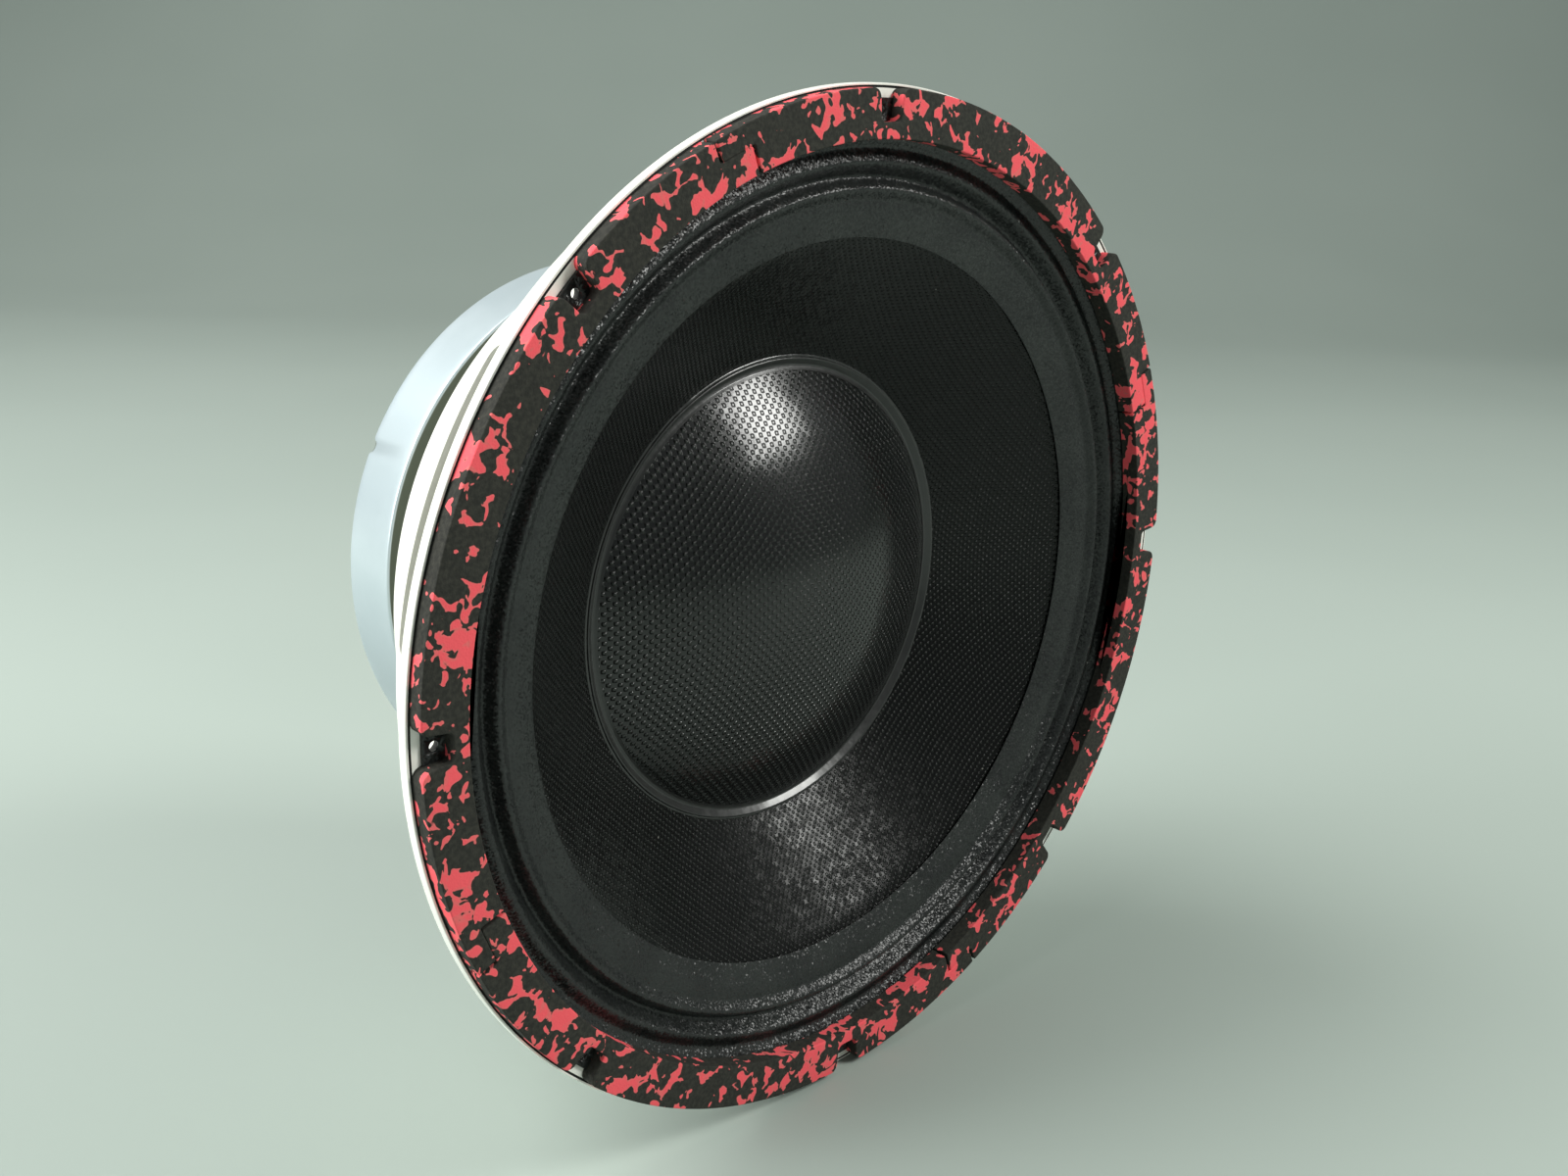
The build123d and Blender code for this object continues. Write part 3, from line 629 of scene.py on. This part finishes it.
def basket_cutters():
    """The eight cooling slots, with rounded corners, and the eight bolt holes, as one mesh."""
    bm = bmesh.new()
    half_length = SLOT_HALF_ANGLE * WALL_R
    corner, spacing = 5.0, 4.0
    outline = rounded([
        (-half_length, SLOT_FRONT_Y, corner), (half_length, SLOT_FRONT_Y, corner),
        (half_length, SLOT_BACK_Y, corner), (-half_length, SLOT_BACK_Y, corner)], steps=6)
    dense = []
    for k, (s, y) in enumerate(outline):
        s_next, y_next = outline[(k + 1) % len(outline)]
        pieces = max(1, round(math.hypot(s_next - s, y_next - y) / spacing))
        dense += [(s + (s_next - s) * j / pieces, y + (y_next - y) * j / pieces)
                  for j in range(pieces)]
    for k in range(BOLT_COUNT):
        middle = FULL_TURN * (k + 0.5) / BOLT_COUNT
        inner, outer = [], []
        for s, y in dense:
            for radius, ring in ((WALL_INNER_R - 3.5, inner), (WALL_R + 5, outer)):
                x, z = on_circle(radius, middle + s / WALL_R)
                ring.append(bm.verts.new((x, y, z)))
        join_rings(bm, (inner, outer), closed=False)
        cap_slot(bm, inner)
        cap_slot(bm, outer)
        x, z = on_circle(BOLT_CIRCLE_R, FULL_TURN * k / BOLT_COUNT)
        add_prism(bm, hole_outline(x, z), RIM_FRONT_Y - 2, 2)
    return piece_from("basket_cutters", bm, MATERIALS["enamel"])


def cap_slot(bm, ring):
    """Closes one end of a slot cutter with a fan, so that no face spans the curve."""
    centre = Vector((0, 0, 0))
    for vert in ring:
        centre += vert.co
    middle = bm.verts.new(centre / len(ring))
    for j, vert in enumerate(ring):
        bm.faces.new((vert, ring[(j + 1) % len(ring)], middle))


def make_basket():
    """Cast basket: rim, recess, slotted wall and bowl, with eased edges."""
    outline = rounded([
        (GROOVE_R - 0.3, RIM_FRONT_Y, 0), (GROOVE_R - 0.1, RIM_FRONT_Y + 0.5, 0),
        (GROOVE_R + 0.1, RIM_FRONT_Y + 0.5, 0), (GROOVE_R + 0.3, RIM_FRONT_Y, 0),
        (RIM_R, RIM_FRONT_Y, 0.5), (RIM_R, 0, 1.2), (WALL_R, 0, 1.5), (WALL_R, 21.0, 7),
        (114.5, 70.0, 5), (112.0, 76.0, 4), (91.0, 91.5, 6), (88.0, BASKET_BACK_Y, 1.0),
        (52.0, BASKET_BACK_Y, 0.5), (52.0, 92.5, 0.5), (84.0, 92.5, 2), (94.0, 81.0, 1),
        (94.0, 75.0, 0.6), (105.5, 75.0, 0.6), (110.5, 69.0, 3), (WALL_INNER_R, 20.0, 6),
        (WALL_INNER_R, RELIEF_Y, 0.4), (RELIEF_R, RELIEF_Y, 0.4), (RELIEF_R, RECESS_Y, 0.4),
        (RECESS_R, RECESS_Y, 0.4), (RECESS_R, RIM_FRONT_Y, 0.4)], steps=4)
    basket = turned_piece("basket_shell", outline, MATERIALS["enamel"], steps=360)
    cut(basket, basket_cutters())
    bevel = basket.modifiers.new("bevel", "BEVEL")
    bevel.width = 0.7 * MM
    bevel.segments = 2
    bevel.limit_method = "ANGLE"
    bevel.angle_limit = math.radians(50)
    apply_modifiers(basket)
    basket.data.set_sharp_from_angle(angle=math.radians(45))
    return finish_piece(basket, "root", "white_enamel", "frame_basket")


def rounded_block(name, low, high, radius, material_key, steps=3):
    """A block in millimetres with rounded edges."""
    bm = bmesh.new()
    made = bmesh.ops.create_cube(bm, size=1)
    for vert in made["verts"]:
        vert.co = Vector([a if c < 0 else b for c, a, b in zip(vert.co, low, high)])
    bmesh.ops.bevel(bm, geom=list(bm.edges), offset=radius, segments=steps, profile=0.5,
                    affect="EDGES")
    return piece_from(name, bm, MATERIALS[material_key], 35)


def make_terminal_pad():
    """Flat pad of the bowl that the terminal housing is screwed to."""
    low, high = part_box("terminal_housing")
    face_x = low[0] / MM
    pad = rounded_block("terminal_pad", (104, 51.5, -29), (face_x, 77.5, 29), 1.8, "enamel")
    return finish_piece(pad, "root", "white_enamel")


# ---- gasket --------------------------------------------------------------------------

GASKET_IN_R = 141.6
GASKET_SKIRT_R, GASKET_SKIRT_Y = 143.1, -3.05
GASKET_OUT_R = 155.3
GASKET_STEP_R = 149.4
GASKET_LAP = math.radians(4.5)
GASKET_GAP = math.radians(0.17)
GASKET_FIRST_JOINT = math.radians(22.5)
GASKET_BASE_Y = RIM_FRONT_Y
NOTCH_BOTTOM_R = 146.2
NOTCH_HALF = 4.2


def arc_corners(radius, start, end, spacing=1.2):
    """Points along an arc, with no rounding of their own."""
    steps = max(2, int(abs(end - start) * radius / spacing))
    return [(*on_circle(radius, start + (end - start) * k / steps), 0) for k in range(steps + 1)]


def notch_corners(angle):
    """One bolt notch in the outer edge, listed in falling angle."""
    local = [(GASKET_OUT_R, NOTCH_HALF + 0.6, 4.6), (NOTCH_BOTTOM_R, NOTCH_HALF - 0.3, 1.7),
             (NOTCH_BOTTOM_R, 0.3 - NOTCH_HALF, 1.7), (GASKET_OUT_R, -NOTCH_HALF - 0.6, 4.6)]
    cos, sin = math.cos(angle), math.sin(angle)
    return [(u * cos - v * sin, u * sin + v * cos, r) for u, v, r in local]


def gasket_outline(index):
    """Plan outline of one segment: stepped ends and two notches."""
    quarter = FULL_TURN / 4
    start = GASKET_FIRST_JOINT + index * quarter + GASKET_GAP
    end = start + quarter - 2 * GASKET_GAP
    half_lap = GASKET_LAP / 2
    corners = arc_corners(GASKET_IN_R, start - half_lap, end - half_lap)
    corners[0] = (*corners[0][:2], 0.7)
    corners[-1] = (*corners[-1][:2], 0.7)
    corners.append((*on_circle(GASKET_STEP_R, end - half_lap), 0.5))
    corners.append((*on_circle(GASKET_STEP_R, end + half_lap), 0.7))
    notches = [FULL_TURN * k / BOLT_COUNT for k in range(2 * BOLT_COUNT)]
    inside = [a for a in notches if start + half_lap < a < end + half_lap]
    edge = end + half_lap
    half_mouth = (NOTCH_HALF + 6.0) / GASKET_OUT_R
    outer = []
    for angle in reversed(inside):
        outer += arc_corners(GASKET_OUT_R, edge, angle + half_mouth)
        outer += notch_corners(angle)
        edge = angle - half_mouth
    outer += arc_corners(GASKET_OUT_R, edge, start + half_lap)
    outer[0] = (*outer[0][:2], 0.9)
    outer[-1] = (*outer[-1][:2], 0.9)
    corners += outer
    corners.append((*on_circle(GASKET_STEP_R, start + half_lap), 0.5))
    corners.append((*on_circle(GASKET_STEP_R, start - half_lap), 0.7))
    return rounded(corners, steps=6)


def make_gasket_segment(index):
    """One foam segment with softly rounded upper edges."""
    bm = bmesh.new()
    faces = add_prism(bm, gasket_outline(index), GASKET_BASE_Y, GASKET_TOP_Y)
    bmesh.ops.recalc_face_normals(bm, faces=bm.faces)
    top = faces[-1]
    bmesh.ops.bevel(bm, geom=list(top.edges), offset=1.3, segments=5, profile=0.55,
                    affect="EDGES", clamp_overlap=True)
    skirt_from = GASKET_FIRST_JOINT + math.radians(90 * index - 2.1)
    skirt_to = GASKET_FIRST_JOINT + math.radians(90 * index + 87.6)
    skirt = arc_corners(GASKET_SKIRT_R, skirt_from, skirt_to, spacing=3)
    skirt += arc_corners(GASKET_IN_R, skirt_to, skirt_from, spacing=3)
    add_prism(bm, [c[:2] for c in skirt], GASKET_BASE_Y - 1, GASKET_SKIRT_Y)
    bmesh.ops.triangulate(bm, faces=[f for f in bm.faces if len(f.verts) > 4])
    piece = piece_from(f"gasket_foam_{index + 1}", bm, MATERIALS["foam"], 42)
    return finish_piece(piece, "root", "mottled_foam", f"gasket_segment_{index + 1}")


# ---- suspension ----------------------------------------------------------------------

CLOTH_THICKNESS = 0.7


def flex(obj, node):
    """A turned cloth piece in place of its CAD node, which it hides; its placement is baked into its
    mesh.
    """
    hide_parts(node)
    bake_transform(obj)
    return obj


def make_surround():
    """Cloth ring: flange under the gasket, a step down, two soft rolls and a landing."""
    line = [(SURROUND_R, SURROUND_FRONT_Y), (145.0, SURROUND_FRONT_Y), (144.2, -4.6), (143.2, -3.0),
            (142.4, -2.4), (141.4, -2.1), (140.2, -1.1)]
    line += eased([(139.2, -0.5), (135.4, -2.0), (131.0, 2.2), (127.9, -1.3), (124.0, 0.9)])
    line += [(122.8, 0.9), (119.0, 2.35), (116.0, 3.45), (114.6, 3.95), (113.9, 4.3)]
    surround = turned_piece("surround_cloth", shell_outline(line, CLOTH_THICKNESS),
                            MATERIALS["cloth"], 384, 60)
    bm = bmesh.new()
    for k in range(BOLT_COUNT):
        x, z = on_circle(BOLT_CIRCLE_R, FULL_TURN * k / BOLT_COUNT)
        add_prism(bm, hole_outline(x, z, CLOTH_HOLE_R), SURROUND_FRONT_Y - 2, SURROUND_FRONT_Y + 2)
    cut(surround, piece_from("flange_cutters", bm, MATERIALS["cloth"]))
    return flex(surround, "surround")


def make_spider():
    """Corrugated centring disc."""
    lip_y, roll_height = 74.0, 2.2
    line = [(SPIDER_R, lip_y), (93.5, lip_y)]
    rolls, start, end = 6, 93.0, 43.0
    steps = rolls * 12
    for k in range(steps + 1):
        share = k / steps
        y = lip_y - roll_height * math.sin(FULL_TURN * rolls * share)
        line.append((start + (end - start) * share, y))
    line += [(41.0, lip_y - 0.4), (39.9, lip_y - 1.6), (39.75, 69.7)]
    spider = turned_piece("spider_cloth", shell_outline(line, CLOTH_THICKNESS),
                          MATERIALS["spider"], 240, 60)
    return flex(spider, "spider")


# ---- cone, dust cap and coil -----------------------------------------------------------

CONE_BEND_R, CONE_BEND_Y = 113.9, 5.3
CONE_SLOPE = 0.6955


def cone_y(radius):
    """The cone's front surface inside the bend."""
    return CONE_BEND_Y + (CONE_BEND_R - radius) * CONE_SLOPE


def make_cone():
    """Straight woven cone with a soft bend under the surround's landing."""
    line = [(CONE_R, 1.95), (118.0, 3.75), (115.0, 4.9), (CONE_BEND_R, 5.35)]
    neck_r = FORMER_R + 0.12
    straight_r = CONE_BEND_R - 0.6
    steps = 24
    for k in range(1, steps + 1):
        radius = straight_r + (neck_r - straight_r) * k / steps
        line.append((radius, cone_y(radius)))
    cone = turned_piece("woven_cone", shell_outline(line, 1.3), MATERIALS["cone"], 320, 50)
    return finish_piece(cone, "cone_assembly", "woven_cone", "cone")


DOME_EDGE_R = 72.3
DOME_RISE = 23.5


def dome_line():
    """The dome's front line, from its crest to its edge, and the y of the edge's seat."""
    seat_y = cone_y(73.5) - 1.0
    sphere_r = (DOME_EDGE_R ** 2 + DOME_RISE ** 2) / (2 * DOME_RISE)
    centre_y = seat_y - DOME_RISE + sphere_r
    edge = math.asin(DOME_EDGE_R / sphere_r)
    steps = 40
    dome = []
    for k in range(steps + 1):
        angle = edge * k / steps
        dome.append((sphere_r * math.sin(angle), centre_y - sphere_r * math.cos(angle)))
    return dome, seat_y


def make_dust_cap():
    """Woven dome, and the smooth pressed lip round it."""
    dome, seat_y = dome_line()
    cap = turned_piece("woven_dome", shell_outline(dome, 0.7), MATERIALS["dome"], sharp_angle=60)
    finish_piece(cap, "cone_assembly", "woven_dome", "dust_cap")
    lip = rounded([
        (DOME_EDGE_R - 0.8, seat_y - 0.75, 0), (DOME_EDGE_R - 0.1, seat_y - 0.15, 0.5),
        (DOME_EDGE_R + 0.9, seat_y + 0.2, 0.6), (DOME_R - 0.4, seat_y - 1.6, 0.5),
        (DOME_R, seat_y - 1.1, 0.3), (DOME_R - 0.5, seat_y - 0.4, 0.2),
        (DOME_EDGE_R + 0.8, seat_y + 0.8, 0.3), (DOME_EDGE_R - 0.6, seat_y + 0.7, 0.3),
        (DOME_EDGE_R - 1.1, seat_y + 0.1, 0)], steps=4)
    rim = turned_piece("dome_lip", lip, MATERIALS["lip"], sharp_angle=60)
    finish_piece(rim, "cone_assembly", "woven_dome")


def make_glue_bead():
    """Uneven bead of black adhesive round the dome's lip."""
    bm = bmesh.new()
    centre_r = DOME_R + 0.35
    waviness = 12.0
    steps, around = 360, 8
    rings = []
    for k in range(steps):
        angle = FULL_TURN * k / steps
        place = Vector((*on_circle(waviness, angle), 7.1))
        swell = 0.55 + 0.22 * noise.noise(place)
        ring = []
        for j in range(around):
            turn = FULL_TURN * j / around
            radius = centre_r + swell * math.cos(turn)
            y = cone_y(centre_r) - 0.1 + 0.6 * swell * math.sin(turn)
            x, z = on_circle(radius, angle)
            ring.append(bm.verts.new((x, y, z)))
        rings.append(ring)
    join_rings(bm, rings)
    bead = piece_from("dome_adhesive", bm, MATERIALS["glue"], 60)
    finish_piece(bead, "cone_assembly", "woven_dome")


def make_winding():
    """Close-wound copper turns on the former."""
    wire = 0.62
    turns = int((WINDING_BACK_Y - WINDING_FRONT_Y) / wire)
    inner = FORMER_R + 0.05
    end_y = WINDING_FRONT_Y + wire * turns
    outline = [(inner, WINDING_FRONT_Y)]
    for k in range(turns):
        y = WINDING_FRONT_Y + wire * k
        outline += [(WINDING_R - 0.2, y), (WINDING_R - 0.04, y + wire * 0.25),
                    (WINDING_R, y + wire * 0.5), (WINDING_R - 0.04, y + wire * 0.75)]
    outline += [(WINDING_R - 0.2, end_y), (inner, end_y)]
    winding = turned_piece("copper_winding", outline, MATERIALS["copper"], 160, 80)
    return finish_piece(winding, "cone_assembly", "copper_wire", "voice_coil_winding")


# ---- motor ---------------------------------------------------------------------------

def make_magnet():
    """Ferrite ring with eased edges and one small chip knocked out of its rear edge."""
    bore_r, edge = 49.0, 0.9
    outline = rounded([
        (bore_r, MAGNET_FRONT_Y, 0.5), (MAGNET_R, MAGNET_FRONT_Y, edge),
        (MAGNET_R, MAGNET_FRONT_Y + 3, 0), (MAGNET_R, MAGNET_BACK_Y - 3, 0),
        (MAGNET_R, MAGNET_BACK_Y, edge), (bore_r, MAGNET_BACK_Y, 0.5)], steps=6)
    bm = turned_mesh(outline, 720)
    where, width, depth = math.radians(154), 2.6, 1.0
    for vert in bm.verts:
        radius = math.hypot(vert.co.x, vert.co.z)
        away = math.atan2(vert.co.z, vert.co.x) - where
        share = 1 - abs(away * radius) / width
        if share > 0 and radius > MAGNET_R - 3 and vert.co.y > MAGNET_BACK_Y - 2.5:
            shrink = 1 - depth * min(1, share * 2.2) / radius
            vert.co.x *= shrink
            vert.co.z *= shrink
            vert.co.y -= 0.4 * depth * share
    magnet = piece_from("ferrite_magnet", bm, MATERIALS["magnet"], 35)
    return finish_piece(magnet, "root", "silver_paint", "magnet_ring")


# ---- terminals and leads ---------------------------------------------------------------

def make_spring(name, node):
    """Coil spring between the pocket's floor and the button, along X."""
    low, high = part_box(node)
    wire_r = 0.32 * MM
    centre_y = (low[1] + high[1]) / 2
    centre_z = (low[2] + high[2]) / 2
    coil_r = (high[1] - low[1]) / 2 - wire_r
    length = high[0] - low[0] - 2 * wire_r
    turns, per_turn, around = 5.5, 24, 6
    count = int(turns * per_turn)
    bm = bmesh.new()
    rings = []
    for k in range(count + 1):
        share = k / count
        angle = FULL_TURN * turns * share
        out = Vector((0, math.cos(angle), math.sin(angle)))
        centre = Vector((low[0] + wire_r + length * share, centre_y, centre_z)) + out * coil_r
        ring = []
        for j in range(around):
            turn = FULL_TURN * j / around
            offset = out * math.cos(turn) + Vector((1, 0, 0)) * math.sin(turn)
            ring.append(bm.verts.new((centre + offset * wire_r) / MM))
        rings.append(ring)
    join_rings(bm, rings, closed=False)
    bm.faces.new(rings[0])
    bm.faces.new(list(reversed(rings[-1])))
    spring = piece_from(name, bm, MATERIALS["spring"], 60)
    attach(spring, "root")
    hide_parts(node)
    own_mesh(spring)
    return spring


LEAD_R = 1.1


def make_lead(side, name):
    """Braided lead from the terminal's lug to the former."""
    lug_x, lug_z = 103.0, 10.5 * side
    former_r = FORMER_R + 0.65 + LEAD_R
    x_end, z_end = on_circle(former_r, side * math.radians(24))
    middle_x = (lug_x + x_end) / 2
    route = [(lug_x, 69.0, lug_z), (lug_x, 59.5, lug_z), (lug_x - 11, 52.0, lug_z + side * 3),
             (middle_x + 4, 53.5, lug_z + side * 7),
             (middle_x - 12, 60.0, (lug_z + z_end) / 2 + side * 7),
             (x_end + 6, 65.5, z_end + side * 2.7), (x_end, 64.5, z_end)]
    curve = bpy.data.curves.new(name, "CURVE")
    curve.dimensions = "3D"
    spline = curve.splines.new("NURBS")
    spline.points.add(len(route) - 1)
    for point, place in zip(spline.points, route):
        point.co = (*[c * MM for c in place], 1)
    spline.order_u = 3
    spline.use_endpoint_u = True
    spline.resolution_u = 8
    curve.bevel_depth = LEAD_R * MM
    curve.bevel_resolution = 3
    curve.use_fill_caps = True
    holder = linked(name + "_curve", curve)
    mesh = evaluated_mesh(holder)
    bpy.data.objects.remove(holder)
    mesh.materials.clear()
    mesh.materials.append(MATERIALS["braid"])
    smooth(mesh)
    lead = linked(name, mesh)
    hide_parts(name.replace("braid", "tinsel_lead"))
    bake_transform(lead)
    return lead


# ---- the assembly --------------------------------------------------------------------

def dress_cad_nodes():
    """Materials of the CAD nodes that are shown as they are."""
    for node, key in (
            ("top_plate", "steel"), ("yoke", "steel"), ("pole_vent_screen", "screen"),
            ("motor_screws", "black_screw"), ("voice_coil_former", "film"),
            ("coil_leadouts", "copper"), ("terminal_housing", "plastic"),
            ("terminal_screws", "bright_screw"), ("terminal_button_negative", "black"),
            ("terminal_button_positive", "red"), ("terminal_contact_negative", "brass"),
            ("terminal_contact_positive", "brass")):
        dress(node, key)


def build_driver():
    """Every piece of the driver, at rest."""
    dress_cad_nodes()
    make_basket()
    make_terminal_pad()
    for index in range(4):
        make_gasket_segment(index)
    make_surround()
    make_spider()
    make_cone()
    make_dust_cap()
    make_glue_bead()
    make_winding()
    make_magnet()
    make_spring("push_spring_negative", "terminal_spring_negative")
    make_spring("push_spring_positive", "terminal_spring_positive")
    make_lead(-1, "braid_negative")
    make_lead(1, "braid_positive")


# ---- camera, floor and light -----------------------------------------------------------

CAMERA_PLACE_MM = (-330.3, -313.6, 167.3)
CAMERA_AIM_MM = (-30.6, -4.0, 17.8)
CAMERA_SPIN = math.radians(2.37)      # the driver stands turned this far about its own axis
CAMERA_LENS_MM = 36.24
FLOOR_GAP = 0.0005                    # the rim's lowest point is this far above the floor
FLOOR_TURN = math.radians(-44)        # squares the sweep to the camera


def make_camera():
    """A camera at the viewer's place, turned about the driver's axis by the driver's own spin."""
    data = bpy.data.cameras.new("camera")
    data.sensor_width = 36
    data.lens = CAMERA_LENS_MM
    data.clip_start = 0.01
    data.clip_end = 50
    camera = linked("camera", data)
    place = Vector(CAMERA_PLACE_MM) * MM
    aim = Vector(CAMERA_AIM_MM) * MM
    turn = (aim - place).to_track_quat("-Z", "Y").to_matrix().to_4x4()
    spin = Matrix.Rotation(-CAMERA_SPIN, 4, "Y")
    camera.matrix_world = spin @ Matrix.Translation(place) @ turn
    bpy.context.scene.camera = camera


def make_floor():
    """A pale grey-green sweep: flat under the driver, curving up far behind it."""
    width, near, far, rise = 7.0, -5.0, 1.7, 2.8
    bend, steps = 1.4, 16
    bm = bmesh.new()
    line = [(near, 0.0), (far, 0.0)]
    for k in range(1, steps + 1):
        angle = math.pi / 2 * k / steps
        line.append((far + bend * math.sin(angle), bend * (1 - math.cos(angle))))
    line.append((far + bend, rise))
    left = [bm.verts.new((-width, y, z)) for y, z in line]
    right = [bm.verts.new((width, y, z)) for y, z in line]
    for k in range(len(line) - 1):
        bm.faces.new((left[k], left[k + 1], right[k + 1], right[k]))
    mesh = bpy.data.meshes.new("sweep")
    bm.to_mesh(mesh)
    bm.free()
    smooth(mesh)
    made, tree, shader = material("sweep_paper", Roughness=0.75)
    cloud = noise_at(tree, place_mm(tree), 0.002)
    tree.links.new(mixed(tree, cloud, (0.315, 0.369, 0.333), (0.370, 0.424, 0.386)),
                   shader.inputs["Base Color"])
    mesh.materials.append(made)
    sweep = linked("sweep", mesh)
    sweep.location = (0, 0, -RIM_R * MM - FLOOR_GAP)
    sweep.rotation_euler = (0, 0, FLOOR_TURN)


def area_light(name, place, size, power, colour):
    """A square soft light in watts, aimed at the driver's centre."""
    data = bpy.data.lights.new(name, "AREA")
    data.shape = "RECTANGLE"
    data.size = data.size_y = size
    data.energy = power
    data.color = colour
    light = linked(name, data)
    light.location = place
    light.rotation_euler = (-Vector(place)).to_track_quat("-Z", "Y").to_euler()


def make_lights():
    """Pale surroundings, a large window light, a side light and a small front light."""
    world = bpy.data.worlds.new("studio")
    world.use_nodes = True
    background = world.node_tree.nodes["Background"]
    background.inputs["Color"].default_value = (0.80, 0.88, 0.86, 1)
    background.inputs["Strength"].default_value = 0.27
    bpy.context.scene.world = world
    bpy.context.scene.view_settings.view_transform = "Standard"
    area_light("window", (-1.1, 0.85, 1.7), size=1.9, power=64, colour=(1.0, 1.0, 0.98))
    area_light("side", (-1.55, 0.75, 0.50), size=0.8, power=23, colour=(0.97, 1.0, 0.99))
    area_light("front", (0.9, -1.15, 1.12), size=0.65, power=28, colour=(0.99, 1.0, 0.96))


build_driver()
make_camera()
make_floor()
make_lights()
